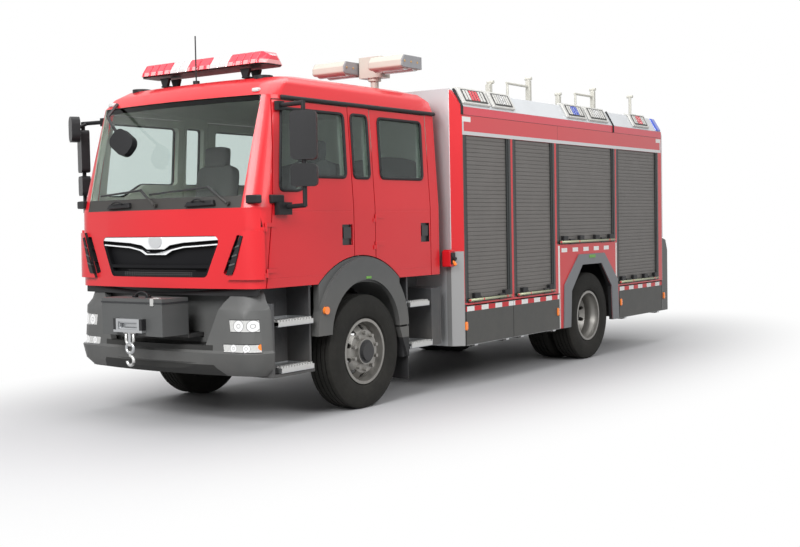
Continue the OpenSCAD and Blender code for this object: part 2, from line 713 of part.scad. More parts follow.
// Winch box with roller fairlead and hook
winch_z = 780;
winch_front_y = fairlead_l - front_reach;
winch_back_y = winch_front_y + winch_l;
module winch() at_axle() color(plastic) {
    block(-winch_w / 2, winch_w / 2, winch_front_y, winch_back_y, winch_z, winch_z + winch_h);
    block(-winch_w / 2 - 6, winch_w / 2 + 6, winch_front_y - 6, winch_back_y, winch_z + winch_h - 42,
        winch_z + winch_h - 30);
    fairlead_y = winch_front_y - fairlead_l / 2;
    difference() {
        block(-175, 175, winch_front_y - fairlead_l, winch_front_y + eps, winch_z + 30, winch_z + 145);
        block(-115, 115, winch_front_y - far, winch_front_y - 8, winch_z + 55, winch_z + 120);
    }
    for (z = [winch_z + 58, winch_z + 117]) rod_x(-150, 150, fairlead_y, z, 15);
    for (x = [-125, 125]) rod_z(x, fairlead_y, winch_z + 40, winch_z + 135, 15);
    // Hook hanging from the rope's end
    rod_z(0, fairlead_y, winch_z - 60, winch_z + 60, 16);
    translate([0, fairlead_y, winch_z - 105]) rotate([90, 0, 0])
        rotate_extrude() translate([42, 0]) circle(r = 14);
}

// Cab shell
module cab_shell() cab_layer(0, cab_wall);
module all_doors() {
    along_x(-far, far) {
        offset(door_gap) front_door_outline();
        offset(door_gap) rear_door_outline();
    }
}
tunnel_w = 640;
tunnel_z = 1480;
floor_t = 55;
floor_y = -cab_nose + 310;
module cab_floor() at_axle() color("#4a4c4e") {
    floor_x = cab_w / 2 - cab_wall - 4;
    block(-floor_x, floor_x, floor_y, back_y - 45, cab_bottom_z, cab_bottom_z + floor_t);
    block(-floor_x + 200, floor_x - 200, floor_y - 145, floor_y + eps, cab_bottom_z, cab_bottom_z + floor_t);
    block(-tunnel_w / 2, tunnel_w / 2, floor_y, 250, cab_bottom_z + floor_t - eps, tunnel_z);
}
module cab_roof() at_axle() color(red) intersection() {
    cab_shell();
    block(-far, far, -far, far, eaves_z, far);
}
module cab_front() at_axle() color(red) {
    fixed_hinges(door_hinges[0]);
    nose_panel();
    deflectors();
}
// Air deflectors that stand proud of the nose's corners, outside the vents
deflector_lift = 28;
deflector_z = [1246, 1652];
deflector_end_y = a_line_y0 - 20;
module deflectors() intersection() {
    cab_layer(-deflector_lift, grille_inset);
    along_y(-far, deflector_end_y) both_sides_2d() polygon([[vent_bottom.x + vent_lean - 6, deflector_z[0]],
        [far, deflector_z[0]], [far, deflector_z[1]], [vent_top.x + 6, deflector_z[1]]]);
}
module nose_panel() difference() {
    intersection() {
        cab_shell();
        along_x(-far, far) polygon([[-far, cab_bottom_z], [a_line(cab_bottom_z), cab_bottom_z],
            [a_line(waist_z), waist_z], [-far, waist_z]]);
    }
    nose_cut() {
        grille_outline();
        both_sides_2d() vent_outline();
    }
    both_sides() hinge_relief(door_hinges[0], door_half_lift);
}
module cab_sides() at_axle() color(red) {
    fixed_hinges(door_hinges[1]);
    side_frames();
}
module side_frames() difference() {
    pillar_y = front_door_y1 - 2 * door_gap;
    intersection() {
        cab_shell();
        along_x(-far, far) polygon([[pillar_y, cab_bottom_z], [back_y, cab_bottom_z], [back_y, eaves_z],
            [-far, eaves_z], [-far, waist_z], [pillar_y, waist_z]]);
    }
    screen_cut();
    all_doors();
    along_x(-far, far) {
        pillar_window_outline();
        arch_base(door_gap);
    }
    both_sides() hinge_relief(door_hinges[1], door_half_lift);
}
module cab_back() at_axle() color(red) intersection() {
    cab_shell();
    block(-far, far, back_y, far, cab_bottom_z, eaves_z);
}
module glass_layer() cab_layer(glass_inset, glass_inset + glass_t);
module cab_glass() at_axle() color("#8fa6a8", 0.5) intersection() {
    glass_layer();
    union() {
        screen_cut();
        along_x(-far, far) pillar_window_outline();
    }
}

// Grille with wing, blade and louvres, and the fins of the side vents
louvre_h = 26;
louvre_pitch = 58;
grille_rim = 24;
grille_back = 48;
grille_back_t = 14;
grille_inset = 8;
fin_h = 22;
fin_zs = [vent_bottom.y + 105, vent_bottom.y + 215];
module grille_bars() {
    difference() {
        union() {
            for (z = [grille_bottom_z + 20 : louvre_pitch : grille_top_z - 2 * shield_h])
                translate([-grille_top_w, z]) square([2 * grille_top_w, louvre_h]);
            difference() {
                grille_outline();
                offset(-grille_rim) grille_outline();
            }
        }
        translate([0, -blade_drop]) wing_outline();
    }
    wing_outline();
    blade_outline();
    both_sides_2d() for (z = fin_zs) translate([vent_bottom.x - vent_w, z])
        square([vent_top.x - vent_bottom.x + vent_w, fin_h]);
}
module grille() at_axle() color(black) intersection() {
    nose_cut() {
        grille_outline();
        both_sides_2d() vent_outline();
    }
    union() {
        cab_layer(grille_back, grille_back + grille_back_t);
        intersection() {
            cab_layer(grille_inset, grille_back + eps);
            nose_cut() grille_bars();
        }
    }
}

// Scuttle panel with two wipers
cowl_h = 100;
wiper_r = 9;
// Wipers: pivot x, then x and height of the blade's two ends
wiper_rows = [[15, [-186, 2014], [-741, 1979]], [820, [599, 2018], [-62, 1974]]];
wiper_boss_r = 18;
wiper_lift = 26;
module wipers() at_axle() color(black) {
    intersection() {
        cab_layer(0, glass_inset);
        screen_cut();
        block(-far, far, -far, 0, waist_z, waist_z + cowl_h);
    }
    for (row = wiper_rows) {
        pivot = [row[0], screen_y(row[0], waist_z + 40) - wiper_lift, waist_z + 40];
        ends = [for (e = [row[1], row[2]]) [e.x, screen_y(e.x, e.y) - wiper_lift, e.y]];
        rod_y(pivot.x, pivot.y - 4, pivot.y + wiper_lift + 2, pivot.z, wiper_boss_r);
        rod(pivot, ends[0], wiper_r + 2);
        rod(ends[0], ends[1], wiper_r);
        translate(ends[0]) sphere(r = wiper_r + 4, $fn = 16);
    }
}

// Dashboard with column and steering wheel
seat_x = cab_w / 2 - 520;
steer_x = seat_x;
dash_w = cab_w - 320;
dash_y = -cab_nose + 490;
module dashboard() at_axle() color("#303336") {
    along_x(-dash_w / 2, dash_w / 2) translate([dash_y, tunnel_z]) polygon([[-280, 0], [-280, 280],
        [-210, 335], [-70, 320], [0, 240], [0, 80], [-70, 0]]);
    wheel_mid = [steer_x, dash_y + 210, tunnel_z + 350];
    rod([steer_x, dash_y - 50, tunnel_z + 170], wheel_mid, 34);
    translate(wheel_mid) rotate([-35, 0, 0]) {
        rotate_extrude() translate([215, 0]) circle(r = 17);
        translate([0, 0, -12]) cylinder(r = 60, h = 26);
        for (a = [0, 180, 270]) rotate(a) block(0, 215, -18, 18, -8, 8);
    }
}

// Two front seats and a rear bench
seat_y = -330;
seat_w = 500;
seat_r = 50;
seat_z = 1500;
seat_t = 150;
seat_back_z = 2270;
box_w = 380;
bench_w = cab_w - 380;
bench_y = cab_tail - 80;
bench_z = 1470;
module seats() at_axle() color("#3b3d42") {
    floor_z = cab_bottom_z + floor_t;
    both_sides() translate([seat_x, seat_y, 0]) {
        block(-box_w / 2, box_w / 2, -180, 220, floor_z, seat_z);
        along_x(-seat_w / 2, seat_w / 2) rounded(seat_r) polygon([[-290, seat_z], [260, seat_z],
            [310, seat_back_z], [190, seat_back_z], [130, seat_z + seat_t], [-290, seat_z + seat_t]]);
        along_x(-140, 140) rounded(40) polygon([[205, seat_back_z - 30], [300, seat_back_z - 30],
            [300, seat_back_z + 200], [215, seat_back_z + 200]]);
    }
    block(30 - bench_w / 2, bench_w / 2 - 30, bench_y - 460, bench_y - 40, floor_z, bench_z);
    along_x(-bench_w / 2, bench_w / 2) rounded(seat_r) translate([bench_y, bench_z]) polygon([[-530, 0],
        [0, 0], [0, 860], [-110, 860], [-150, seat_t], [-530, seat_t]]);
}

// Front arches with liner and mud flap, and the rear arch trims
liner_t = 8;
arch_pad_l = 120;
flap_in_x = cab_w / 2 - 360;
mud_flap_t = 12;
mud_flap_z = 190;
mud_bracket_l = 50;
rear_arch_t = 14;
rear_arch_out = [[748, 0], [720, 500], [340, 846]];
rear_arch_in = [[575, 0], [545, 425], [260, 722]];
function arch_sides(v) = concat([for (p = v) [p.x, body_bottom_z + p.y]],
    [for (i = [len(v) - 1 : -1 : 0]) [-v[i].x, body_bottom_z + v[i].y]]);
module wheel_arches() at_axle() color(plastic) {
    both_sides() {
        along_x(arch_lip_x, arch_out_x) difference() {
            arch_lip();
            arch_lip_opening();
        }
        along_x(arch_in_x, arch_skin_x) difference() {
            union() {
                arch_lip();
                arch_base();
            }
            arch_liner_opening();
        }
        // Liner above the tyre
        along_x(arch_liner_x, arch_in_x + eps) difference() {
            intersection() {
                arch_liner_opening(liner_t);
                translate([-far, arch_front_z]) square([2 * far, cab_bottom_z - arch_front_z - 2]);
            }
            arch_liner_opening();
        }
        // Pad that carries the liner under the floor
        block(arch_liner_x, arch_in_x, -arch_pad_l / 2, arch_pad_l / 2, arch_mid.y + arch_liner_b + 2,
            cab_bottom_z);
        // Mud flap and its bracket
        block(flap_in_x, arch_out_x - 20, arch_rear_y, arch_rear_y + mud_flap_t, mud_flap_z,
            arch_rear_z + 190);
        block(flap_in_x, arch_in_x + eps, arch_rear_y - mud_bracket_l, arch_rear_y + eps, arch_rear_z,
            arch_front_z + 30);
        translate([0, wheelbase, 0]) along_x(body_w / 2, body_w / 2 + rear_arch_t) difference() {
            polygon(arch_sides(rear_arch_out));
            translate([0, -eps]) polygon(arch_sides(rear_arch_in));
        }
    }
}

// Steps below the doors
step_in_x = cab_w / 2 - 320;
step_out_x = cab_w / 2;
step_plate = 25;
tread_h = 40;
// Each step: ends of the tower, its lower edge and the length of its closed skirt
front_tower = [bumper_rear_y, -715, 420, 30];
rear_tower = [-cab_tail + 20, -730, 470, 170];
// Treads: start, end and height
front_treads = [[-1190, -735, 880], [-1160, -735, 490]];
rear_treads = [[-1060, -730, 915], [-1100, -740, 515]];
module step_tower(tower, treads) {
    block(step_in_x, step_in_x + step_plate, tower[0], tower[1], tower[2], cab_bottom_z);
    for (t = treads) block(step_in_x, step_out_x + 5, t[0], t[1], t[2] - tread_h, t[2]);
    block(step_in_x, step_out_x - 5, tower[0], tower[0] + tower[3], tower[2], cab_bottom_z - 130);
    block(step_in_x, step_out_x - 5, tower[0], tower[1], tower[2], tower[2] + step_plate);
    block(step_in_x, step_out_x - 40, tower[1] - step_plate, tower[1], tower[2], cab_bottom_z);
}
module cab_steps() at_axle() color(plastic) both_sides() {
    step_tower(front_tower, front_treads);
    mirror([0, 1, 0]) step_tower(rear_tower, rear_treads);
}

// Body structure: subframe, deck and low lockers
deck_z = 1150;
deck_t = 40;
locker_in_x = 520;
locker_bottom_z = body_bottom_z + 20;
locker_out_x = body_w / 2 - body_wall - 25;
wheel_bay = [wheelbase - 790, wheelbase + 750];
module body_base() at_axle() color("#6d7073") {
    inner_x = body_w / 2 - body_wall;
    block(-inner_x, inner_x, body_y + body_chamfer, body_tail - body_wall, deck_z, deck_z + deck_t);
    both_sides() {
        block(rail_x - rail_flange, rail_x, body_y + body_wall, frame_rear_y, frame_top_z, deck_z + eps);
        block(locker_in_x, locker_out_x, body_y + 120, wheel_bay[0], locker_bottom_z, deck_z + eps);
        block(locker_in_x, locker_out_x, wheel_bay[1], body_tail - body_wall, locker_bottom_z, deck_z + eps);
        flap_brackets();
    }
}

// Bays of each side: start, end and sill height
sill_z = 862;
high_sill_z = 1405;
bay_y0 = body_y + 148;
bay_y1 = wheelbase - 964;
bay_mid = (bay_y0 + bay_y1) / 2;
post_w = 128;
bays = [[bay_y0, bay_mid - post_w / 2, sill_z], [bay_mid + post_w / 2, bay_y1, sill_z],
    [wheelbase - 834, wheelbase + 646, high_sill_z], [wheelbase + 768, body_tail - 160, sill_z]];
// Flaps below the bays: start and end
flap_rows = [[body_y + 120, bay_mid], [bay_mid, wheelbase - 835], [wheelbase + 780, body_tail - 15]];
flap_top_z = body_bottom_z + flap_h;
body_x = body_w / 2;
module body_sides() at_axle() color(red) both_sides() {
    along_x(body_x - body_wall, body_x) difference() {
        translate([body_y + body_chamfer, body_bottom_z])
            square([body_tail - body_y - body_chamfer, body_top_z - body_bottom_z]);
        for (b = bays) translate([b[0], b[2]]) square([b[1] - b[0], shutter_top_z - b[2]]);
        translate([flap_rows[0][0] - flap_gap, 0])
            square([flap_rows[1][1] - flap_rows[0][0] + 2 * flap_gap, flap_top_z + flap_gap]);
        translate([flap_rows[2][0] - flap_gap, 0])
            square([flap_rows[2][1] - flap_rows[2][0] + 2 * flap_gap, flap_top_z + flap_gap]);
        translate([wheelbase, -eps]) polygon(arch_sides(rear_arch_in));
    }
}
front_wall_top_z = body_top_z + rim_rise;
rear_bay_w = 1300;
rear_sill_z = 1000;
module body_ends() at_axle() color(red) {
    // Front wall with chamfered corners, notched over the frame
    difference() {
        translate([0, 0, body_bottom_z]) linear_extrude(front_wall_top_z - body_bottom_z) polygon([
            [-body_x, body_y + body_chamfer], [-body_x + body_chamfer, body_y],
            [body_x - body_chamfer, body_y],
            [body_x, body_y + body_chamfer], [body_x - body_wall, body_y + body_chamfer],
            [body_x - body_wall, body_y + body_chamfer - 5], [body_x - body_chamfer - 15, body_y + body_wall],
            [15 + body_chamfer - body_x, body_y + body_wall], [body_wall - body_x, body_y + body_chamfer - 5],
            [body_wall - body_x, body_y + body_chamfer]]);
        block(-locker_in_x, locker_in_x, 0, far, 0, deck_z);
        both_sides() along_y(0, far) polygon([[body_x, body_top_z], [body_x + far, body_top_z],
            [body_x + far, far], [body_x - rim_lean, far], [body_x - rim_lean, front_wall_top_z]]);
    }
    // Rear wall and corner pods
    difference() {
        block(-body_x + body_wall, body_x - body_wall, body_tail - body_wall, body_tail,
            body_bottom_z + 20, body_top_z - 50);
        block(-rear_bay_w / 2, rear_bay_w / 2, 0, far, rear_sill_z, shutter_top_z);
        block(-locker_in_x, locker_in_x, 0, far, 0, rear_sill_z + eps);
    }
    both_sides() difference() {
        along_x(body_x - pod_w, body_x) polygon([[body_tail, body_bottom_z], [rear_reach, body_bottom_z],
            [rear_reach, 1250], [rear_reach - 60, 1390], [body_tail, 1420]]);
        for (i = [0 : tail_lamp_n - 1]) rod_y(tail_lamp_x, rear_reach - tail_lamp_d, far,
            tail_lamp_z + i * tail_lamp_pitch, tail_lamp_r);
    }
}
module body_roof() at_axle() color(steel) {
    half = [[0, body_top_z - 50], [body_x - body_wall, body_top_z - 50], [body_x - body_wall, body_top_z],
        [body_x, body_top_z], [body_x - rim_lean, body_top_z + rim_rise],
        [body_x - rim_lean - 40, body_top_z + rim_rise], [body_x - body_wall - 40, roof_deck_z],
        [0, roof_deck_z]];
    along_y(body_y + body_chamfer, body_tail) both_sides_2d() polygon(half);
    // Rear rim
    block(-body_x + rim_lean + 30, body_x - rim_lean - 30, body_tail - 40, body_tail, body_top_z - 20,
        body_top_z + rim_rise);
}
module both_sides_2d() {
    children();
    mirror([1, 0]) children();
}

// Roller shutters with guide rails and pull bars
shutter_in_x = body_x - 40;
slat_t = 22;
guide_w = 36;
guide_d = 34;
pull_bar_h = 46;
module slats(h) {
    n = floor(h / slat_h);
    pitch = h / n;
    polygon(concat([[0, 0]], [for (i = [0 : n - 1]) each [
        [slat_t, i * pitch + slat_groove], [slat_t, (i + 1) * pitch - slat_groove],
        [slat_t - slat_groove, (i + 1) * pitch]]],
        [[0, h]]));
}
module shutter(w, h) {
    rotate([90, 0, 0]) translate([0, 0, -w]) linear_extrude(w) slats(h);
    for (y = [0, w - guide_w]) translate([0, y, 0]) cube([guide_d, guide_w, h]);
    translate([0, guide_w - eps, 0]) cube([pull_bar_h, w - 2 * guide_w + 2 * eps, pull_bar_h]);
    for (f = [0.22, 0.78]) translate([0, w * f - 60, 0]) cube([58, 120, 60]);
}
module shutters() at_axle() color("#8d9091") {
    both_sides() for (b = bays)
        translate([shutter_in_x, b[0], b[2]]) shutter(b[1] - b[0], shutter_top_z - b[2]);
    translate([-rear_bay_w / 2, body_tail - 40, rear_sill_z]) rotate([0, 0, 90]) mirror([0, 1, 0])
        shutter(rear_bay_w, shutter_top_z - rear_sill_z);
}

// Lamps in wedge housings on the sloped rim: start and length
roof_lamp_rows = [[body_y + 127, 539], [body_y + 712, 467], [wheelbase - 584, 517], [wheelbase - 5, 532],
    [body_tail - 894, 503]];
wedge_lift = 24;
wedge_in = 40;
module roof_lamps() at_axle() color("#f0efe9") both_sides() for (r = roof_lamp_rows)
    along_y(r[0], r[0] + r[1]) translate([body_x - rim_lean, body_top_z + rim_rise]) polygon([
        [rim_lean - 12, 22 - rim_rise], [rim_lean + 8, wedge_in - rim_rise], [22, wedge_lift],
        [-wedge_in, wedge_lift], [-wedge_in, 0], [0, 0]]);

// Roof posts with rails between them: place along the body and height above its side walls
post_x = body_x - 250;
roof_posts = [[body_y + 1086, 344], [wheelbase - 1052, 456], [wheelbase - 327, 338], [wheelbase + 601, 468],
    [body_tail - 442, 463]];
railed_posts = [1, 3];
post_rail_l = 500;
post_rail_drop = 90;
post_head_l = 80;
post_r = 19;
roof_deck_z = body_top_z - 10;
module roof_rack() at_axle() color(steel) {
    both_sides() {
        for (p = roof_posts) {
            rod_z(post_x, p[0], roof_deck_z, body_top_z + p[1], post_r);
            rod_x(post_x - post_head_l / 2, post_x + post_head_l / 2, p[0], body_top_z + p[1], post_r);
        }
        for (i = railed_posts) {
            p = roof_posts[i];
            rail_z = body_top_z + p[1] - post_rail_drop;
            rod_y(post_x, p[0] - post_rail_l, p[0], rail_z, post_r - 5);
            rod_z(post_x, p[0] - post_rail_l + 20, roof_deck_z, rail_z, post_r - 5);
        }
    }
    // Ladder on the rear wall
    for (x = [-1050, -750]) {
        rod_z(x, body_tail + 90, 1500, body_top_z + 120, 18);
        for (z = [1560, 2200, 2780]) rod_y(x, body_tail, body_tail + 90, z, 12);
    }
    for (z = [1600 : 300 : 2800]) rod_x(-1050, -750, body_tail + 90, z, 14);
}

// Light bar across the cab roof
bar_half = cab_w / 2 - 345;
bar_y = -770;
bar_z = 3062;
bar_h = 140;
bar_l = 320;
bar_taper = 60;
foot_x = [470, 540];
module bar_section(shrink = 0) {
    l = bar_l / 2 - shrink;
    h = bar_h - shrink * 0.7;
    translate([bar_y, bar_z]) polygon([[-l, 20], [30 - l, shrink * 0.3], [l - 30, shrink * 0.3], [l, 20],
        [l - 10, 0.43 * h], [l - 70, h], [70 - l, h], [10 - l, 0.43 * h]]);
}
module light_bar() at_axle() color("#d22b3f") {
    along_x(bar_taper - bar_half, bar_half - bar_taper) bar_section();
    both_sides() hull() {
        along_x(bar_half - bar_taper - 2, bar_half - bar_taper) bar_section();
        along_x(bar_half - 1, bar_half) bar_section(bar_taper);
    }
    difference() {
        both_sides() block(foot_x[0], foot_x[1], bar_y - 90, bar_y + 90, roof_z - 60, bar_z + eps);
        cab_form(-skin_gap);
    }
}

// Aerial and low roof discs
module roof_fittings() at_axle() color(black) {
    difference() {
        union() {
            rod_z(aerial.x, aerial.y, roof_z - 60, roof_z - 10, 30);
            rod_z(aerial.x, aerial.y, roof_z - 25, aerial_top_z, 6);
            both_sides() rod_z(disc_x, disc_y, roof_z - 70, roof_z - 22, 85);
            front_mirror();
        }
        cab_form(-skin_gap);
    }
}
aerial = [15, -960];
aerial_top_z = roof_z + 390;
disc_x = cab_w / 2 - 360;
disc_y = -900;
// Mirror ahead of the windscreen, on an arm from the roof's right front corner
front_mirror_mid = [-300, -cab_nose - 50, 2430];
front_mirror_size = [250, 190];
front_mirror_arm = [[320 - cab_w / 2, 330 - cab_nose, eaves_z + 40],
    [500 - cab_w / 2, 60 - cab_nose, 2680], [700 - cab_w / 2, -50 - cab_nose, 2570], front_mirror_mid];
front_mirror_arm_r = 14;
module front_mirror() {
    translate(front_mirror_mid) rotate([-15, 35, 0]) along_y(-35, 35) rounded(2 * mirror_r)
        square(front_mirror_size, center = true);
    for (i = [0 : 2]) {
        rod(front_mirror_arm[i], front_mirror_arm[i + 1], front_mirror_arm_r);
        translate(front_mirror_arm[i]) sphere(r = front_mirror_arm_r, $fn = 16);
    }
}

// Telescopic light mast in the gap behind the cab
mast_y = (cab_tail + body_y) / 2;
stage_r = mast_r - 10;
stage_gap = 0.5;
stage_bottom_z = 1300;
head_z = 3195;
head_h = 215;
module mast_tube() at_axle() color(steel) {
    difference() {
        rod_z(mast_x, mast_y, deck_z - 60, mast_top_z, mast_r);
        rod_z(mast_x, mast_y, deck_z - 30, far, stage_r + stage_gap);
    }
    for (z = [1500, 2700]) difference() {
        block(mast_x - 90, mast_x + 90, mast_y, body_y, z, z + 60);
        rod_z(mast_x, mast_y, 0, far, mast_r - 1);
    }
}
module mast_stage() at_axle() color("#cfd2d3") {
    rod_z(mast_x, mast_y, stage_bottom_z, head_z - 30, stage_r);
    rod_z(mast_x, mast_y, head_z - 31, head_z - running_gap, stage_r + 26);
}
flood_z = 3300;
flood_t = 130;
flood_shaft_r = 25;
flood_gap = 165;
module mast_head() at_axle() color("#e8e6df") difference() {
    translate([mast_x, mast_y, head_z]) linear_extrude(head_h) rounded(25) square([290, 180], center = true);
    rod_x(-far, far, mast_y, flood_z, flood_shaft_r + running_gap);
}
module floodlights() at_axle() color("#f1efe6") {
    rod_x(mast_x - flood_gap - 20, mast_x + flood_gap + 20, mast_y, flood_z, flood_shaft_r);
    for (s = [-1, 1]) translate([mast_x + s * (flood_gap + flood_l / 2), mast_y - 130, flood_z])
        along_x(-flood_l / 2, flood_l / 2) rounded(20) polygon([
            [-195, -flood_t / 2 + 15], [-170, -flood_t / 2],
            [170, -flood_t / 2], [170, flood_t / 2], [-150, flood_t / 2], [-195, 10]]);
}

// Door hinges: barrels stacked on an upright axis at the skin, the lower on the cab, the upper on the door
hinge_r = 11;
hinge_h = 36;
hinge_leaf = 36;
door_leaf = 120;
hinge_leaf_t = 6;
hinge_root = 30;
skin_gap = 0.5;
hinge_clear = 8;
hinge_x = cab_w / 2 + 2;
front_hinge_y = a_line_y0 + 6;
rear_hinge_y = rear_door_y0 + door_gap / 2;
// Each row: hinge axis y and the heights of its two hinges
door_hinges = [[front_hinge_y, [1260, 1640]], [rear_hinge_y, [1450, 1700]]];
module hinge_half(row, leaf_y0, leaf_y1, lift) {
    for (z = row[1]) translate([0, 0, z + lift]) {
        rod_z(hinge_x, row[0], 0, hinge_h, hinge_r);
        block(hinge_x - hinge_root, hinge_x + hinge_leaf_t, row[0] + leaf_y0, row[0] + leaf_y1, 0, hinge_h);
    }
}
door_half_lift = hinge_h + running_gap;
// The cab half ends at the skin
module fixed_hinges(row) difference() {
    both_sides() hinge_half(row, -hinge_leaf, 0, 0);
    cab_form();
}
// Room in the panels for the other half's barrel to turn
module hinge_relief(row, lift) {
    for (z = row[1]) rod_z(hinge_x, row[0], z + lift - eps, z + lift + hinge_h + eps, hinge_r + hinge_clear);
}
// The door half clears the skin ahead of the door and grows out of the door behind it
module ahead_of_door(rear) {
    z1 = door_top_z;
    y0 = rear ? rear_door_y0 : a_line(0);
    y1 = rear ? rear_door_y0 : a_line(z1);
    along_x(0, far) polygon([[-far, 0], [y0 + door_gap, 0], [y1 + door_gap, z1], [-far, z1]]);
}
module door_hinge_half(rear) difference() {
    hinge_half(door_hinges[rear ? 1 : 0], 0, door_leaf, door_half_lift);
    intersection() {
        cab_form(-skin_gap);
        ahead_of_door(rear);
    }
}

// Doors and their glass
handle_y = [[-300, -150], [940, 1085]];
handle_z = [1500, 1685];
handle_d = 22;
module door(s, rear) {
    on_side(s) difference() {
        intersection() {
            cab_shell();
            along_x(400, far) difference() {
                if (rear) rear_door_outline();
                else front_door_outline();
                arch_base(door_gap);
                if (rear) rear_window_outline();
                else front_window_outline();
            }
        }
        h = handle_y[rear ? 1 : 0];
        block(cab_w / 2 - handle_d, far, h[0], h[1], handle_z[0], handle_z[1]);
        hinge_relief(door_hinges[rear ? 1 : 0], 0);
    }
    // Hinges, and the pull handle in its recess
    on_side(s) door_hinge_half(rear);
    on_side(s) {
        h = handle_y[rear ? 1 : 0];
        block(cab_w / 2 - handle_d - eps, cab_w / 2 - 2, h[0] + 20, h[1] - 20, handle_z[0] + 60,
            handle_z[1] - 25);
    }
}
module door_glass(s, rear) on_side(s) intersection() {
    glass_layer();
    along_x(400, far) {
        if (rear) rear_window_outline();
        else front_window_outline();
    }
}
module door_front_left() at_axle() color(red) door(1, false);
module door_front_right() at_axle() color(red) door(-1, false);
module door_rear_left() at_axle() color(red) door(1, true);
module door_rear_right() at_axle() color(red) door(-1, true);
module glass_front_left() at_axle() color("#8fa6a8", 0.5) door_glass(1, false);
module glass_front_right() at_axle() color("#8fa6a8", 0.5) door_glass(-1, false);
module glass_rear_left() at_axle() color("#8fa6a8", 0.5) door_glass(1, true);
module glass_rear_right() at_axle() color("#8fa6a8", 0.5) door_glass(-1, true);

// Mirrors on arms from the front doors
mirror_x = cab_w / 2 + 247;
mirror_y = -1100;
mirror_w = 220;
mirror_t = 80;
mirror_r = 38;
mirror_toe = 30;
module mirror_body(z0, z1) translate([mirror_x, mirror_y, 0]) rotate(mirror_toe)
    along_y(-mirror_t / 2, mirror_t / 2) rounded(mirror_r)
    translate([-mirror_w / 2, z0]) square([mirror_w, z1 - z0]);
// The kerb mirror over the right mirror, on an arm from the upper tube
kerb_mid = [cab_w / 2 + 200, mirror_y - 140, 2625];
kerb_size = [190, 240];
module kerb_mirror() {
    translate(kerb_mid) rotate(mirror_toe) along_y(-mirror_t / 2, mirror_t / 2) rounded(2 * mirror_r)
        square(kerb_size, center = true);
    rod(kerb_mid, [kerb_mid.x, mirror_y + 15, 2690], 16);
}
module mirror_set(s) on_side(s) difference() {
    union() {
        mirror_pieces();
        if (s < 0) kerb_mirror();
    }
    cab_form(-skin_gap);
}
module mirror_pieces() {
    mirror_body(2225, 2625);
    mirror_body(2005, 2190);
    door_x = cab_w / 2;
    rod([door_x - 40, mirror_y + 30, 2690], [mirror_x, mirror_y, 2690], 19);
    rod_z(mirror_x, mirror_y, 1840, 2705, 19);
    rod([door_x + 20, mirror_y + 10, 1840], [mirror_x, mirror_y, 1850], 19);
    block(door_x, door_x + 55, mirror_y - 100, mirror_y + 60, 1775, 1880);
    block(door_x - tumble, door_x - tumble + 50, mirror_y - 10, mirror_y + 60, 2650, 2725);
}
module mirror_left() at_axle() color(black) mirror_set(1);
module mirror_right() at_axle() color(black) mirror_set(-1);

// Fold-down flaps below the shutters, hinged on barrels under their lower edge
flap_hinge_r = 9;
flap_hinge_w = 60;
flap_hinge_inset = 160;
flap_axis_x = body_x - 12;
flap_axis_z = body_bottom_z - flap_hinge_r - 1;
function flap_hinge_ys(i) = [flap_rows[i][0] + flap_hinge_inset, flap_rows[i][1] - flap_hinge_inset];
module flap(s, i) on_side(s) {
    r = flap_rows[i];
    block(body_x - body_wall, body_x, r[0] + flap_gap / 2, r[1] - flap_gap / 2, body_bottom_z, flap_top_z);
    for (y = flap_hinge_ys(i)) {
        rod_y(flap_axis_x, y, y + flap_hinge_w, flap_axis_z, flap_hinge_r);
        block(flap_axis_x, flap_axis_x + flap_hinge_r, y, y + flap_hinge_w, flap_axis_z, body_bottom_z + eps);
    }
}
// The fixed half of each flap hinge, on the low lockers
module flap_brackets() {
    for (i = [0 : len(flap_rows) - 1]) for (y = flap_hinge_ys(i)) {
        y0 = y - flap_hinge_w - running_gap;
        rod_y(flap_axis_x, y0, y0 + flap_hinge_w, flap_axis_z, flap_hinge_r);
        block(locker_out_x - 40, flap_axis_x, y0, y0 + flap_hinge_w, flap_axis_z - flap_hinge_r, flap_axis_z);
        block(locker_out_x - 40, locker_out_x, y0, y0 + flap_hinge_w, flap_axis_z - flap_hinge_r,
            locker_bottom_z + eps);
    }
}
module flap_1_left() at_axle() color(plastic) flap(1, 0);
module flap_1_right() at_axle() color(plastic) flap(-1, 0);
module flap_2_left() at_axle() color(plastic) flap(1, 1);
module flap_2_right() at_axle() color(plastic) flap(-1, 1);
module flap_3_left() at_axle() color(plastic) flap(1, 2);
module flap_3_right() at_axle() color(plastic) flap(-1, 2);

frame();
front_axle();
rear_axle();
drivetrain();
tow_jaw();
bumper();
lamps();
winch();
cab_floor();
cab_roof();
cab_front();
cab_sides();
cab_back();
cab_glass();
grille();
wipers();
dashboard();
seats();
wheel_arches();
cab_steps();
body_base();
body_sides();
body_ends();
body_roof();
shutters();
roof_lamps();
roof_rack();
light_bar();
roof_fittings();
mast_tube();
mast_stage();
mast_head();
floodlights();
door_front_left();
door_front_right();
door_rear_left();
door_rear_right();
glass_front_left();
glass_front_right();
glass_rear_left();
glass_rear_right();
mirror_left();
mirror_right();
knuckle_left();
knuckle_right();
rim_front_left();
rim_front_right();
rim_rear_left();
rim_rear_right();
tyre_front_left();
tyre_front_right();
tyre_rear_left();
tyre_rear_right();
flap_1_left();
flap_1_right();
flap_2_left();
flap_2_right();
flap_3_left();
flap_3_right();
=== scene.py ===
import math

import bpy
import bmesh
from mathutils import Matrix, Vector


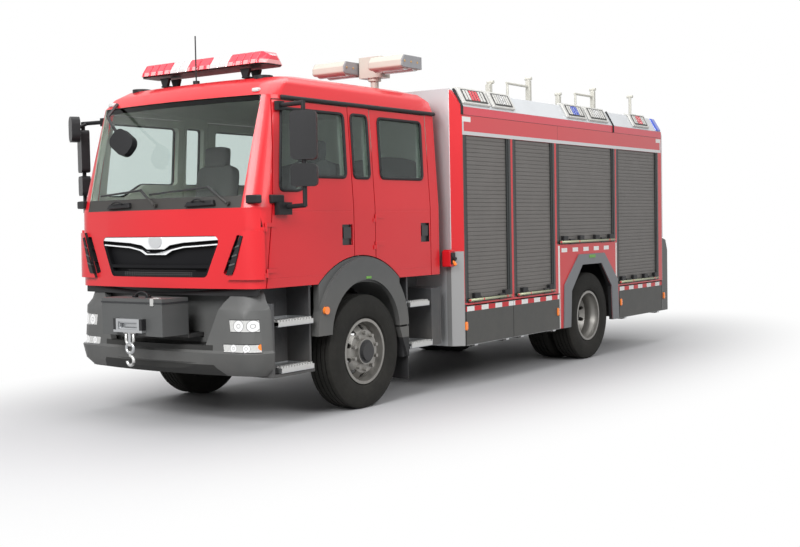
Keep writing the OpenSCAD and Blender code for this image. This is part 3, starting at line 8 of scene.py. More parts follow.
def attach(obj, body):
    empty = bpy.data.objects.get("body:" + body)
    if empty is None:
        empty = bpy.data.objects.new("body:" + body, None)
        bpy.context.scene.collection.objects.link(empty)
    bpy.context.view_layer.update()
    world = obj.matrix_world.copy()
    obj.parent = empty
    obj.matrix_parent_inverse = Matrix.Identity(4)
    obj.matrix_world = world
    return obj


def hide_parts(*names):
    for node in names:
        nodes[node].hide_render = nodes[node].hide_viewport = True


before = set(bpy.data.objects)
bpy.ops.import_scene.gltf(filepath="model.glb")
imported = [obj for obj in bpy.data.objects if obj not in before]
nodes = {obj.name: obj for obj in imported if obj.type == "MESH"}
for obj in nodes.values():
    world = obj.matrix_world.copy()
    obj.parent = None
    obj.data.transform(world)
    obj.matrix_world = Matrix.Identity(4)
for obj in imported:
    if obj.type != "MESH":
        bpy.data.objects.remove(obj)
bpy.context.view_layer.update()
scene = bpy.context.scene
scene.view_settings.view_transform = "Standard"
SIDES = {1: "left", -1: "right"}
X, Y, Z = range(3)
LOW, HIGH = range(2)


def extent(name):
    """The low and high corners of a CAD node, to a tenth of a millimetre."""
    corners = nodes[name].bound_box
    return [[round(end(c[k] for c in corners), 4) for k in range(3)] for end in (min, max)]


def middle(name, axis):
    low, high = extent(name)
    return round((low[axis] + high[axis]) / 2, 4)


# Driving sizes from the frame, in metres: lengths along the truck count from the front axle
AXLE = middle("tyre_front_left", Y)
AXLES = (0.0, round(middle("tyre_rear_left", Y) - AXLE, 4))
WHEEL_R = round(extent("tyre_front_left")[HIGH][Y] - AXLE, 4)
BODY_X = extent("body_sides")[HIGH][X]
BODY_START, BODY_END = (round(corner[Y] - AXLE, 4) for corner in extent("body_sides"))
CAB_X = extent("cab_back")[HIGH][X]
ROOF_X = extent("cab_roof")[HIGH][X]
NOSE_Y = round(extent("cab_front")[LOW][Y] - AXLE, 4)
CAB_Z, BELT_Z = (corner[Z] for corner in extent("cab_front"))
CAB_TOP = extent("cab_glass")[HIGH][Z]
WINCH_TOP = extent("winch")[HIGH][Z]

# Shutter bays: start, end and sill. Their guides reach over the posts between them
BAYS = ((1.568, 2.438, 0.862), (2.566, 3.436, 0.862), (3.566, 5.046, 1.405), (5.168, 6.4, 0.862))
POST_GUIDE, BAY_GUIDE = 0.044, 0.037
# Heights on the body's side: shutter head, red band, edge of the sloped rim
HEAD_Z, BAND_Z, EDGE_Z = 2.567, 2.604, 2.77

# Colours
RED = (0.52, 0.008, 0.014)
DARK = (0.068, 0.07, 0.07)
BLACK = (0.012, 0.012, 0.013)
RUBBER = (0.02, 0.02, 0.021)
GREY = (0.048, 0.049, 0.047)
ARCH_GREY = (0.15, 0.155, 0.165)
SLAT = (0.135, 0.127, 0.12)
GUIDE = (0.012, 0.015, 0.015)
# The rim's red made paler: a painted highlight where the slope faces up
RIM_RED_AND_SHEEN = (0.6, 0.045, 0.07)
HOUSING = (0.56, 0.555, 0.53)
SILVER = (0.56, 0.57, 0.58)
PALE = (0.72, 0.72, 0.7)
CHROME = (0.8, 0.81, 0.82)
AMBER = (0.85, 0.2, 0.015)
LENS_RED = (0.6, 0.012, 0.03)
BLUE = (0.03, 0.08, 0.5)
# Interior lining, lightened and tinted grey-green: painted light for the light that comes in through the
# glass
LINING_AND_PAINTED_LIGHT = (0.46, 0.5, 0.43)
LIP_AND_SHADE_BLACK = (0.016, 0.016, 0.015)
BAND = (0.55, 0.04, 0.05)
ROAD_DUST = (0.3, 0.27, 0.23)


class Shade:
    """One principled material with masks in object coordinates, which are the row frame's metres."""

    def __init__(self, name):
        self.mat = bpy.data.materials.new(name)
        self.mat.use_nodes = True
        self.tree = self.mat.node_tree
        self.bsdf = self.tree.nodes["Principled BSDF"]
        coords = self.tree.nodes.new("ShaderNodeTexCoord")
        self.coords = coords.outputs["Object"]
        self.normal = coords.outputs["Normal"]
        split = self.node("ShaderNodeSeparateXYZ", {0: self.coords})
        self.axis = {"x": split.outputs[0], "y": split.outputs[1], "z": split.outputs[2]}
        self.axis["ax"] = self.math("ABSOLUTE", self.axis["x"])

    def node(self, kind, inputs=None, **settings):
        n = self.tree.nodes.new(kind)
        for key, value in settings.items():
            setattr(n, key, value)
        for key, value in (inputs or {}).items():
            if isinstance(value, bpy.types.NodeSocket):
                self.tree.links.new(value, n.inputs[key])
            else:
                n.inputs[key].default_value = value
        return n

    def math(self, op, *values):
        return self.node("ShaderNodeMath", dict(enumerate(values)), operation=op).outputs[0]

    def vector(self, op, *values):
        return self.node("ShaderNodeVectorMath", dict(enumerate(values)), operation=op)

    def noise(self, scale, detail=3.0):
        n = self.node("ShaderNodeTexNoise", {"Vector": self.coords, "Scale": scale, "Detail": detail})
        return n.outputs["Fac"]

    def mix(self, fac, a, b):
        """A colour that goes from a to b with fac."""
        a, b = ((*c, 1) if isinstance(c, tuple) else c for c in (a, b))
        return self.node("ShaderNodeMix", {0: fac, 6: a, 7: b}, data_type="RGBA").outputs[2]

    def blend(self, fac, a, b):
        """A number that goes from a to b with fac."""
        return self.node("ShaderNodeMapRange", {0: fac, 3: a, 4: b}).outputs[0]

    def span(self, value, low, high):
        return self.math("COMPARE", value, (low + high) / 2, (high - low) / 2)

    def away(self, axis, start):
        return self.math("SUBTRACT", self.axis[axis], start)

    def radius(self, axis, start, z):
        a, b = self.away(axis, start), self.away("z", z)
        return self.math("SQRT", self.math("ADD", self.math("MULTIPLY", a, a), self.math("MULTIPLY", b, b)))

    def test(self, kind, *values):
        """1 where a point passes: (axis, low, high), ("along", low, high) from the front axle,
        ("ring", axis, start, z, low, high), ("lin", ax, y, z, low, high) for a sum with these weights,
        ("every", axis, start, period, share), ("turn", y, z, count, share) round an axle,
        or ("inward", y, z) on faces that look at a point in the middle plane."""
        if kind == "along":
            return self.span(self.axis["y"], *map(at, values))
        if kind == "ring":
            return self.span(self.radius(*values[:3]), *values[3:])
        if kind == "lin":
            total = self.math("MULTIPLY", self.axis["ax"], values[0])
            total = self.math("MULTIPLY_ADD", self.axis["y"], values[1], total)
            total = self.math("MULTIPLY_ADD", self.axis["z"], values[2], total)
            return self.span(total, *values[3:])
        if kind == "every":
            phase = self.math("FRACT", self.math("DIVIDE", self.away(*values[:2]), values[2]))
            return self.math("LESS_THAN", phase, values[3])
        if kind == "turn":
            angle = self.math("ARCTAN2", self.away("z", values[1]), self.away("y", values[0]))
            phase = self.math("FRACT", self.math("MULTIPLY", angle, values[2] / math.tau))
            return self.math("LESS_THAN", phase, values[3])
        if kind == "inward":
            arm = self.vector("SUBTRACT", self.coords, (0, *values)).outputs[0]
            return self.math("LESS_THAN", self.vector("DOT_PRODUCT", arm, self.normal).outputs["Value"], 0.0)
        return self.span(self.axis[kind], *values)

    def mask(self, tests):
        """The product of some tests."""
        out = None
        for values in tests:
            bit = self.test(*values)
            out = bit if out is None else self.math("MULTIPLY", out, bit)
        return out


def paint(name, colour, rough=0.4, metal=0.0, coat=0.0, vary=0.08, scale=3.0, grain=0.0, grain_scale=400.0,
          dust=0.0, spec=0.35, regions=(), bumps=()):
    """A surface with colour drift, uneven roughness, fine grain and painted regions.
    Each region is (tests, colour, roughness, metallic); each bump is (tests, depth)."""
    s = Shade(name)
    drift = s.noise(scale)
    low = tuple(c * (1 - vary) for c in colour)
    high = tuple(min(1, c * (1 + vary) + 0.002) for c in colour)
    col = s.mix(drift, low, high)
    roughness = s.blend(s.noise(scale * 6), max(0.02, rough - 0.06), min(1, rough + 0.06))
    metallic = None
    if dust:
        # Road dust that fades upwards
        fade = s.node("ShaderNodeMapRange", {0: s.axis["z"], 1: 0.3, 2: 1.3, 3: dust, 4: 0.0}).outputs[0]
        col = s.mix(s.math("MULTIPLY", fade, s.noise(5.0, 6.0)), col, ROAD_DUST)
    for tests, tint, r, m in regions:
        where = s.mask(tests)
        col = s.mix(where, col, s.mix(drift, tuple(c * 0.94 for c in tint), tint))
        roughness = s.node("ShaderNodeMix", {0: where, 2: roughness, 3: r}, data_type="FLOAT").outputs[0]
        if m != metal or metallic is not None:
            before = metal if metallic is None else metallic
            metallic = s.node("ShaderNodeMix", {0: where, 2: before, 3: m}, data_type="FLOAT").outputs[0]
    s.tree.links.new(col, s.bsdf.inputs["Base Color"])
    s.tree.links.new(roughness, s.bsdf.inputs["Roughness"])
    if metallic is None:
        s.bsdf.inputs["Metallic"].default_value = metal
    else:
        s.tree.links.new(metallic, s.bsdf.inputs["Metallic"])
    s.bsdf.inputs["Specular IOR Level"].default_value = spec
    s.bsdf.inputs["Coat Weight"].default_value = coat
    s.bsdf.inputs["Coat Roughness"].default_value = 0.06
    height = None
    if grain:
        height = s.math("MULTIPLY", s.noise(grain_scale, 2.0), grain)
    for tests, depth in bumps:
        bit = s.math("MULTIPLY", s.mask(tests), depth)
        height = bit if height is None else s.math("ADD", height, bit)
    if height is not None:
        bump = s.node("ShaderNodeBump", {"Height": height, "Strength": 0.6, "Distance": 1.0})
        s.tree.links.new(bump.outputs[0], s.bsdf.inputs["Normal"])
    return s.mat


def see_through(name, tint, regions=()):
    """Clear glass; each region is (tests, tint)."""
    s = Shade(name)
    col = s.mix(s.noise(2.0), tuple(c * 0.97 for c in tint), tint)
    for tests, other in regions:
        col = s.mix(s.mask(tests), col, other)
    s.tree.links.new(col, s.bsdf.inputs["Base Color"])
    s.bsdf.inputs["Roughness"].default_value = 0.0
    s.bsdf.inputs["Transmission Weight"].default_value = 1.0
    s.bsdf.inputs["IOR"].default_value = 1.3
    return s.mat


def at(y):
    """The row frame's y of a length from the front axle."""
    return y + AXLE


def gloss_red(name, coat, dust, regions, bumps=()):
    return paint(name, RED, 0.34, coat=coat, vary=0.05, scale=1.2, dust=dust, regions=regions, bumps=bumps)


# Plain materials
black_plastic = paint("black_plastic", BLACK, 0.42, vary=0.2, grain=0.0005, spec=0.2)
mirror_black = paint("mirror_black", (0.014, 0.014, 0.015), 0.4, vary=0.2, grain=0.0004, spec=0.18)
rubber = paint("rubber", RUBBER, 0.7, vary=0.2, grain=0.0008, spec=0.2)
chassis_paint = paint("chassis_paint", (0.022, 0.023, 0.025), 0.55, vary=0.2, scale=6, dust=0.25)
silver = paint("silver_sheet", SILVER, 0.36, metal=0.75, vary=0.06, scale=5, grain=0.0002)
chrome = paint("chrome", CHROME, 0.2, metal=0.5, coat=0.5, vary=0.02)
bright_steel = paint("bright_steel", (0.5, 0.5, 0.49), 0.32, metal=0.6, coat=0.2, vary=0.06, scale=20)
post_white = paint("post_white", (0.5, 0.49, 0.44), 0.4, metal=0.1, vary=0.08, scale=9)
lamp_shell = paint("lamp_shell", HOUSING, 0.5, vary=0.08, scale=7, grain=0.0004)
cream_shell = paint("cream_shell", (0.5, 0.475, 0.42), 0.4, vary=0.06, scale=5, grain=0.0003)
cap_grey = paint("cap_grey", (0.26, 0.26, 0.27), 0.45, metal=0.3, vary=0.1, scale=20, grain=0.0003)
brass = paint("brass", (0.5, 0.3, 0.12), 0.35, metal=0.7, vary=0.1, scale=60)
rod_olive = paint("rod_olive", (0.36, 0.38, 0.25), 0.35, metal=0.3, vary=0.08, scale=12)
amber = paint("amber_lens", AMBER, 0.18, coat=0.8, vary=0.15, scale=40)
lens_red = paint("red_lens", LENS_RED, 0.15, coat=0.8, vary=0.15, scale=30)
lens_blue = paint("blue_lens", BLUE, 0.15, coat=0.8, vary=0.15, scale=30)
lens_clear = paint("clear_lens", (0.5, 0.5, 0.49), 0.16, coat=0.8, vary=0.15, scale=30)
plate_green = paint("plate_green", (0.12, 0.3, 0.05), 0.4, vary=0.1, scale=30)
interior = paint("interior_plastic", (0.09, 0.095, 0.09), 0.6, vary=0.1, grain=0.0008)
fabric = paint("seat_fabric", (0.1, 0.105, 0.105), 0.85, vary=0.25, scale=60, grain=0.002, grain_scale=900,
               spec=0.2, bumps=[([("every", "z", 0.0, 0.11, 0.05)], -0.006)])
mirror_glass = paint("mirror_glass", (0.6, 0.63, 0.65), 0.04, metal=1.0, vary=0.02)

# Cab paints: shells are painted grey inside, the lining lightened as painted light that stands in for light
# through the glass, and black behind the nose as painted shade
INWARD = ("inward", at(-0.1), 2.0)
SIDE_LEAN = round((CAB_X - ROOF_X) / (CAB_TOP - BELT_Z), 4)
cab_lining_and_shade = [
    # Painted light: the lining inside the shells, lightened
    ([INWARD, ("ax", 0.0, 1.085)], LINING_AND_PAINTED_LIGHT, 0.8, 0.0),
    # Painted shade: black on the inward faces by the air deflectors
    ([INWARD, ("along", -1.6, -1.15), ("z", 1.1, 1.7)], BLACK, 0.6, 0.0),
    # Painted light: the lining seen through the side windows, lightened
    ([("lin", 1, 0, SIDE_LEAN, 0.0, 1.213), ("ax", 0.0, 1.1), ("along", -1.0, 1.24), ("z", 1.5, 2.78)],
     LINING_AND_PAINTED_LIGHT, 0.8, 0.0)]
red = gloss_red("red_paint", 0.25, 0.08, cab_lining_and_shade)
# Doors: black handle cups and two pressed lines
HANDLE_CUPS = ((-0.3, -0.15), (0.94, 1.085))
handle_cups = [([("along", start, end), ("z", 1.5, 1.685), ("ax", 1.05, 1.2)], BLACK, 0.4, 0.0)
               for start, end in HANDLE_CUPS]
door_lines = [([("z", low, low + 0.012), ("ax", 1.0, 1.2)], -0.004) for low in (1.24, 1.80)]
door_red = gloss_red("door_red", 0.25, 0.08, cab_lining_and_shade + handle_cups, door_lines)
# Nose: black in the air deflectors, and black on the inward faces behind them as painted shade
nose_red = gloss_red("nose_red", 0.25, 0.05, [
    ([("z", 1.275, 1.62), ("ax", 0.77, 1.0), ("lin", -0.139, 1, 0, at(-1.546), at(-1.0))], BLACK, 0.6, 0.0),
    # Painted shade: black on the nose shell's inward faces
    ([INWARD, ("ax", 0.0, 1.06)], BLACK, 0.6, 0.0)])
grille_black = paint("grille_black", (0.005, 0.005, 0.006), 0.6, vary=0.2, spec=0.1, regions=[
    ([("z", 1.27, 1.325), ("ax", 0.0, 0.42), ("every", "x", 0.0, 0.024, 0.55),
      ("every", "z", 0.0, 0.016, 0.6)], (0.07, 0.07, 0.07), 0.4, 0.3)])
wiper_black = paint("wiper_black", BLACK, 0.45, vary=0.2, grain=0.0004, regions=[
    ([("z", 1.838, 1.945), ("ax", 0.0, 1.0)], (0.03, 0.028, 0.026), 0.5, 0.0)])
# Tinted side glass, with a clearer windscreen under a dark shade band
SCREEN = [("along", -2.0, -1.0), ("ax", 0.0, 0.99)]
glass = see_through("glass", (0.62, 0.7, 0.69), [
    (SCREEN, (0.88, 0.92, 0.89)),
    (SCREEN + [("z", 2.735, 2.8)], (0.02, 0.02, 0.02))])
# Bumper plastic with a black lip below, and black on the middle shelf's top face as painted shade in the gap
# under the upper bumper
dark_plastic = paint("dark_plastic", DARK, 0.5, vary=0.12, grain=0.0006, dust=0.15, regions=[
    ([("z", 0.42, 0.535), ("lin", 1, 0, 0.9, 0.0, 1.15)], LIP_AND_SHADE_BLACK, 0.6, 0.0),
    # Painted shade: the shelf's top face in the gap
    ([("z", 0.655, 0.7), ("ax", 0.0, 0.66)], LIP_AND_SHADE_BLACK, 0.6, 0.0)])
STEP_PLATES = ((0.838, 0.9, -1.2, -0.7), (0.448, 0.5, -1.2, -0.7), (0.872, 0.93, 0.7, 1.1),
               (0.473, 0.53, 0.7, 1.12))
step_paint = paint("step_plastic", (0.04, 0.042, 0.046), 0.5, vary=0.1, grain=0.0005, dust=0.3, regions=[
    ([("ax", 0.8, 1.2), ("z", low, high), ("along", start, end)], (0.5, 0.51, 0.52), 0.35, 0.8)
    for low, high, start, end in STEP_PLATES], bumps=[([("every", "y", 0, 0.024, 0.5)], 0.003)])
# Winch box: bright fairlead with black rollers, dark line under the lid
FAIRLEAD = ("along", -1.84, -1.7815)
winch_paint = paint("winch_paint", DARK, 0.42, vary=0.1, grain=0.0004, regions=[
    ([FAIRLEAD, ("z", 0.5, 1.0)], (0.45, 0.46, 0.47), 0.3, 0.9),
    ([FAIRLEAD, ("z", 0.83, 0.93), ("ax", 0.142, 0.2)], BLACK, 0.4, 0.0),
    ([("z", WINCH_TOP - 0.0425, WINCH_TOP - 0.0295)], (0.02, 0.021, 0.023), 0.5, 0.0)])

# Body paints: the side walls carry strips, a band, pale upright trims and the dark guides of the shutters
OUTER = ("ax", BODY_X - 0.01, BODY_X + 0.05)
STRIP_WHITE = (0.75, 0.75, 0.74)
STRIP_PERIOD = 0.28
GAP_RED = (0.1, 0.004, 0.006)
MID_STRIP = [("z", 1.312, 1.36), ("along", 3.6, 5.0)]
HEAD_STRIP, HEAD_RETURN, HEAD_LABEL = ("z", HEAD_Z, BAND_Z), ("z", HEAD_Z, 2.73), ("z", 2.70, 2.75)
LOW_TRIM = ("z", 0.43, 1.39)
side_marks = [
    ([("z", BAND_Z, EDGE_Z), OUTER], BAND, 0.34, 0.0),
    ([HEAD_STRIP, ("along", 1.52, 6.54), OUTER], SILVER, 0.35, 0.6),
    ([HEAD_RETURN, ("along", 1.518, 1.548)], SILVER, 0.35, 0.6),
    ([HEAD_RETURN, ("along", 6.51, 6.542)], SILVER, 0.35, 0.6),
    ([HEAD_LABEL, ("along", 1.518, 1.68)], PALE, 0.4, 0.0),
    ([HEAD_LABEL, ("along", 6.38, 6.542)], PALE, 0.4, 0.0),
    (MID_STRIP, RED, 0.35, 0.0),
    (MID_STRIP + [("every", "y", at(3.63), STRIP_PERIOD, 0.5)], STRIP_WHITE, 0.35, 0.0),
    ([("z", 0.4, 0.85), ("along", 1.5, 1.56)], GREY, 0.5, 0.0),
    ([LOW_TRIM, ("along", 3.545, 3.585)], PALE, 0.4, 0.0),
    ([LOW_TRIM, ("along", 5.085, 5.118)], PALE, 0.4, 0.0),
    ([("z", 0.4, 0.84), ("along", 6.45, 6.6)], GREY, 0.5, 0.0),
    ([("z", EDGE_Z - 0.006, EDGE_Z), OUTER], GAP_RED, 0.5, 0.0),
    ([("along", 3.562, 3.567), ("z", BAND_Z, 2.765)], GAP_RED, 0.5, 0.0)]
for bay_start, bay_end, sill in BAYS:
    for start in (bay_start - POST_GUIDE, bay_end):
        side_marks.append(([("along", start, start + POST_GUIDE), ("z", sill, 2.566)], GUIDE, 0.45, 0.0))
side_marks += [
    # Painted highlight: the sloped rim lighter than the wall below
    ([("z", EDGE_Z, 2.86), OUTER], RIM_RED_AND_SHEEN, 0.32, 0.0),
    ([("ax", 1.19, BODY_X - 0.0015), ("along", 3.62, 5.12), ("z", 0.4, 1.3)], BLACK, 0.6, 0.0)]
side_red = gloss_red("side_red", 0.3, 0.1, side_marks)
end_paint = gloss_red("end_walls", 0.3, 0.1, [
    ([("ax", 0.0, 1.158), ("along", 1.3, 1.5)], SILVER, 0.4, 0.6),
    ([("ax", 1.1, 1.3), ("along", 1.3, 1.53), ("z", 0.4, 1.39)], (0.3, 0.3, 0.3), 0.4, 0.5),
    ([("along", 6.5, 6.57), ("z", 0.4, 2.84)], SILVER, 0.4, 0.6),
    ([("along", 6.562, 6.8), ("z", 0.4, 1.45)], GREY, 0.5, 0.0)])
FLAP_STRIP = ("z", 0.776, 0.826)
flap_grey = paint("flap_grey", GREY, 0.5, vary=0.1, dust=0.12, regions=[
    ([FLAP_STRIP], RED, 0.35, 0.0),
    ([FLAP_STRIP, ("every", "y", at(1.56), STRIP_PERIOD, 0.5)], STRIP_WHITE, 0.35, 0.0),
    ([("z", 0.3, 0.432)], SILVER, 0.4, 0.6)])
# Wheel arches: pale round the rear wheels, rubber mud flaps behind the front ones
arch_paint = paint("arch_plastic", DARK, 0.45, vary=0.1, grain=0.0004, dust=0.3, regions=[
    ([("along", 2.5, 7.0)], ARCH_GREY, 0.42, 0.0),
    ([("along", 0.5, 0.8), ("z", 0.0, 0.6)], RUBBER, 0.7, 0.0)])
# Shutters: dark guides and pull bars round anodised slats
guide_marks = []
for bay_start, bay_end, _ in BAYS:
    for start in (bay_start, bay_end - BAY_GUIDE):
        guide_marks.append(([("along", start, start + BAY_GUIDE), ("ax", 1.2, 1.3)], GUIDE, 0.4, 0.0))
pull_bar = ([("ax", BODY_X - 0.0045, 1.3), ("z", 0.8, 1.5)], BLACK, 0.5, 0.0)
slat_alu = paint("slat_alu", SLAT, 0.45, metal=0.35, vary=0.1, scale=4, grain=0.0002,
                 bumps=[([("every", "z", 0.0, 0.0213, 0.2)], -0.003)], regions=guide_marks + [pull_bar])
# The roof's outer rim gets the same painted highlight as the side's sloped rim
roof_alu = paint("roof_alu", (0.6, 0.62, 0.64), 0.42, metal=0.3, vary=0.06, scale=3, grain=0.0003, regions=[
    ([("ax", 1.2, 1.3), ("z", 2.78, 2.852)], RIM_RED_AND_SHEEN, 0.32, 0.0)])

# Lamps: dark edges, bright dishes with a bulb cap, amber and red lenses
LAMP_FRONT = ("along", -2, -1.1)
LAMP_REAR = ("along", 6.4, 7)
LAMP_EDGES = (0.808, 0.91, 0.64, 0.708)
# Each dish's place and radius, then its rings: inner and outer share of the radius, tone and metal
DISHES = ((0.905, 0.863, 0.05), (1.025, 0.863, 0.05), (0.86, 0.678, 0.034), (0.98, 0.678, 0.034))
DISH_RINGS = ((0.9, 1.0, 0.2, 0.3), (0.0, 0.9, 0.85, 0.5), (0.28, 0.4, 0.35, 0.5))
lamp_marks = [([("z", edge, edge + 0.008), LAMP_FRONT], BLACK, 0.4, 0.0) for edge in LAMP_EDGES]
for dish_x, dish_z, radius in DISHES:
    for inner, outer, tone, metal in DISH_RINGS:
        ring = ("ring", "ax", dish_x, dish_z, radius * inner, radius * outer)
        lamp_marks.append(([ring, LAMP_FRONT], (tone, tone, tone), 0.12, metal))
lamp_marks += [
    ([("ring", "ax", 1.09, 0.69, 0.0, 0.03), LAMP_FRONT], AMBER, 0.15, 0.0),
    ([("along", -0.7, -0.4)], AMBER, 0.15, 0.0),
    ([LAMP_REAR], LENS_RED, 0.15, 0.0),
    ([LAMP_REAR, ("z", 0.6, 0.77)], (0.6, 0.6, 0.6), 0.15, 0.0),
    ([LAMP_REAR, ("z", 0.77, 0.9)], AMBER, 0.15, 0.0)]
lamp_paint = paint("lamp_glass", (0.45, 0.45, 0.44), 0.12, coat=1.0, vary=0.2, scale=60, regions=lamp_marks)

# Wheels: dark hubs, shoulder sipes and raised rings round both axles
hubs, sipes, wall_rings = [], [], []
for axle in AXLES:
    hubs.append(([("ring", "y", at(axle), WHEEL_R, 0.0, 0.108)], (0.03, 0.03, 0.031), 0.5, 0.0))
    shoulder = ("ring", "y", at(axle), WHEEL_R, WHEEL_R - 0.037, WHEEL_R + 0.008)
    cuts = ("turn", at(axle), WHEEL_R, 96, 0.28)
    sipes.append(([shoulder, cuts, ("along", axle - 1, axle + 1)], -0.006))
    for radius in (0.33, 0.41, 0.45):
        wall_rings.append(([("ring", "y", at(axle), WHEEL_R, radius, radius + 0.006)], 0.003))
rim_paint = paint("rim_silver", (0.25, 0.243, 0.228), 0.36, metal=0.55, vary=0.12, scale=9, dust=0.15,
                  regions=hubs)
tyre_rubber = paint("tyre_rubber", (0.011, 0.011, 0.01), 0.78, vary=0.2, scale=20, grain=0.001, dust=0.06,
                    spec=0.18, bumps=sipes + wall_rings)

# The material of each CAD node, by the start of its name
NODE_PAINT = (
    (chassis_paint, ("frame", "front_axle", "rear_axle", "tow_jaw", "drivetrain", "body_base", "knuckle_")),
    (red, ("cab_roof", "cab_sides", "cab_back")), (nose_red, "cab_front"), (door_red, "door_"),
    (interior, ("cab_floor", "dashboard")), (fabric, "seats"), (glass, ("cab_glass", "glass_")),
    (grille_black, "grille"), (wiper_black, "wipers"), (mirror_black, "mirror_"), (step_paint, "cab_steps"),
    (dark_plastic, "bumper"), (winch_paint, "winch"), (lamp_paint, "lamps"), (arch_paint, "wheel_arches"),
    (rim_paint, "rim_"), (tyre_rubber, "tyre_"), (side_red, "body_sides"), (end_paint, "body_ends"),
    (roof_alu, "body_roof"), (slat_alu, "shutters"), (flap_grey, "flap_"), (lamp_shell, "roof_lamps"),
    (post_white, "roof_rack"), (lens_red, "light_bar"), (black_plastic, "roof_fittings"),
    (cream_shell, ("mast_", "floodlights")))
BEVELS = {"bumper": 0.008, "winch": 0.008, "body_sides": 0.003, "body_ends": 0.006, "roof_lamps": 0.01,
          "wheel_arches": 0.014, "cab_steps": 0.004, "mast_head": 0.01, "floodlights": 0.01,
          "body_roof": 0.005}
SMALL_BEVEL = 0.004
BEVELLED = ("flap_", "mirror_", "door_")
SHELLS = ("cab_roof", "cab_front", "cab_sides", "bumper", "door_", "cab_glass", "glass_", "wheel_arches",
          "lamps")
WELD = 0.0002
SMOOTH_BELOW, NODE_EDGE, PIECE_EDGE = (math.radians(angle) for angle in (33, 40, 35))


def smoothing(limit):
    """A modifier group that joins split corners and shades edges below the limit angle smooth."""
    group = bpy.data.node_groups.new("smooth_below_limit", "GeometryNodeTree")
    for way in ("INPUT", "OUTPUT"):
        group.interface.new_socket("Geometry", in_out=way, socket_type="NodeSocketGeometry")
    steps = [group.nodes.new(kind) for kind in (
        "NodeGroupInput", "GeometryNodeRemoveAttribute", "GeometryNodeMergeByDistance",
        "GeometryNodeSetShadeSmooth", "GeometryNodeSetShadeSmooth", "NodeGroupOutput")]
    _, drop, merge, _, sharpen, _ = steps
    drop.inputs["Name"].default_value = "custom_normal"
    merge.inputs["Distance"].default_value = WELD
    sharpen.domain = "EDGE"
    sharpen.inputs["Shade Smooth"].default_value = False
    angle = group.nodes.new("GeometryNodeInputMeshEdgeAngle")
    above = group.nodes.new("FunctionNodeCompare")
    above.operation = "GREATER_THAN"
    above.inputs[1].default_value = limit
    group.links.new(angle.outputs[0], above.inputs[0])
    group.links.new(above.outputs[0], sharpen.inputs["Selection"])
    for a, b in zip(steps[:-1], steps[1:]):
        group.links.new(a.outputs[0], b.inputs[0])
    return group


smooth_group = smoothing(SMOOTH_BELOW)
for name, obj in nodes.items():
    obj.data.materials.clear()
    obj.data.materials.append(next(mat for mat, starts in NODE_PAINT if name.startswith(starts)))
    obj.modifiers.new("smooth", "NODES").node_group = smooth_group
    if name in BEVELS or name.startswith(BEVELLED):
        bevel = obj.modifiers.new("bevel", "BEVEL")
        bevel.width = BEVELS.get(name, SMALL_BEVEL)
        bevel.segments = 2
        bevel.limit_method = "ANGLE"
        bevel.angle_limit = NODE_EDGE
    if "bevel" in obj.modifiers or name.startswith(SHELLS):
        weighted = obj.modifiers.new("weighted", "WEIGHTED_NORMAL")
        weighted.weight = 100
        weighted.keep_sharp = True


# Piece makers: every mesh is written in row-frame metres
def piece(name, shape, mat, body="chassis", bevel=0.0, smooth=False):
    """An object of verts and faces that rides on a body, with its edges rounded by bevel."""
    verts, faces = shape
    mesh = bpy.data.meshes.new(name)
    mesh.from_pydata([tuple(v) for v in verts], [], faces)
    mesh.validate()
    bm = bmesh.new()
    bm.from_mesh(mesh)
    bmesh.ops.recalc_face_normals(bm, faces=bm.faces)
    bm.to_mesh(mesh)
    bm.free()
    for p in mesh.polygons:
        p.use_smooth = smooth
    obj = bpy.data.objects.new(name, mesh)
    scene.collection.objects.link(obj)
    obj.data.materials.append(mat)
    if bevel:
        mod = obj.modifiers.new("bevel", "BEVEL")
        mod.width = bevel
        mod.segments = 3
        mod.limit_method = "ANGLE"
        mod.angle_limit = PIECE_EDGE
    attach(obj, body)
    return obj


def prism(rings):
    """Verts and faces that join rings of equal length, closed at both ends."""
    n = len(rings[0])
    verts = [p for ring in rings for p in ring]
    faces = []
    for k in range(len(rings) - 1):
        for j in range(n):
            a, b = k * n + j, k * n + (j + 1) % n
            faces.append((a, b, b + n, a + n))
    faces.append(tuple(range(n - 1, -1, -1)))
    faces.append(tuple((len(rings) - 1) * n + j for j in range(n)))
    return verts, faces


def joined(parts):
    """Verts and faces of several parts as one."""
    verts, faces = [], []
    for v, f in parts:
        k = len(verts)
        verts += list(v)
        faces += [tuple(i + k for i in face) for face in f]
    return verts, faces


def box(x0, x1, y0, y1, z0, z1):
    ring = [(x0, y0), (x1, y0), (x1, y1), (x0, y1)]
    return prism([[(x, y, z) for x, y in ring] for z in (z0, z1)])


def rectangle(half_u, half_v):
    return [(-half_u, -half_v), (half_u, -half_v), (half_u, half_v), (-half_u, half_v)]


def pipe(points, r, sides=8):
    """A round tube along points."""
    rings = []
    for i, p in enumerate(points):
        a, b = points[max(0, i - 1)], points[min(len(points) - 1, i + 1)]
        d = (Vector(b) - Vector(a)).normalized()
        u = d.cross(Vector((0, 0, 1)) if abs(d.z) < 0.9 else Vector((1, 0, 0))).normalized()
        w = d.cross(u)
        rings.append([Vector(p) + r * (math.cos(t) * u + math.sin(t) * w)
                      for t in [2 * math.pi * k / sides for k in range(sides)]])
    return prism(rings)


def rounded(points, r, steps=5):
    """A closed outline with its corners rounded."""
    out = []
    n = len(points)
    for i, p in enumerate(points):
        p = Vector(p)
        a = (Vector(points[i - 1]) - p)
        b = (Vector(points[(i + 1) % n]) - p)
        reach = min(r, a.length * 0.45, b.length * 0.45)
        a, b = p + a.normalized() * reach, p + b.normalized() * reach
        for k in range(steps + 1):
            t = k / steps
            out.append(a * (1 - t) ** 2 + p * 2 * t * (1 - t) + b * t * t)
    return out


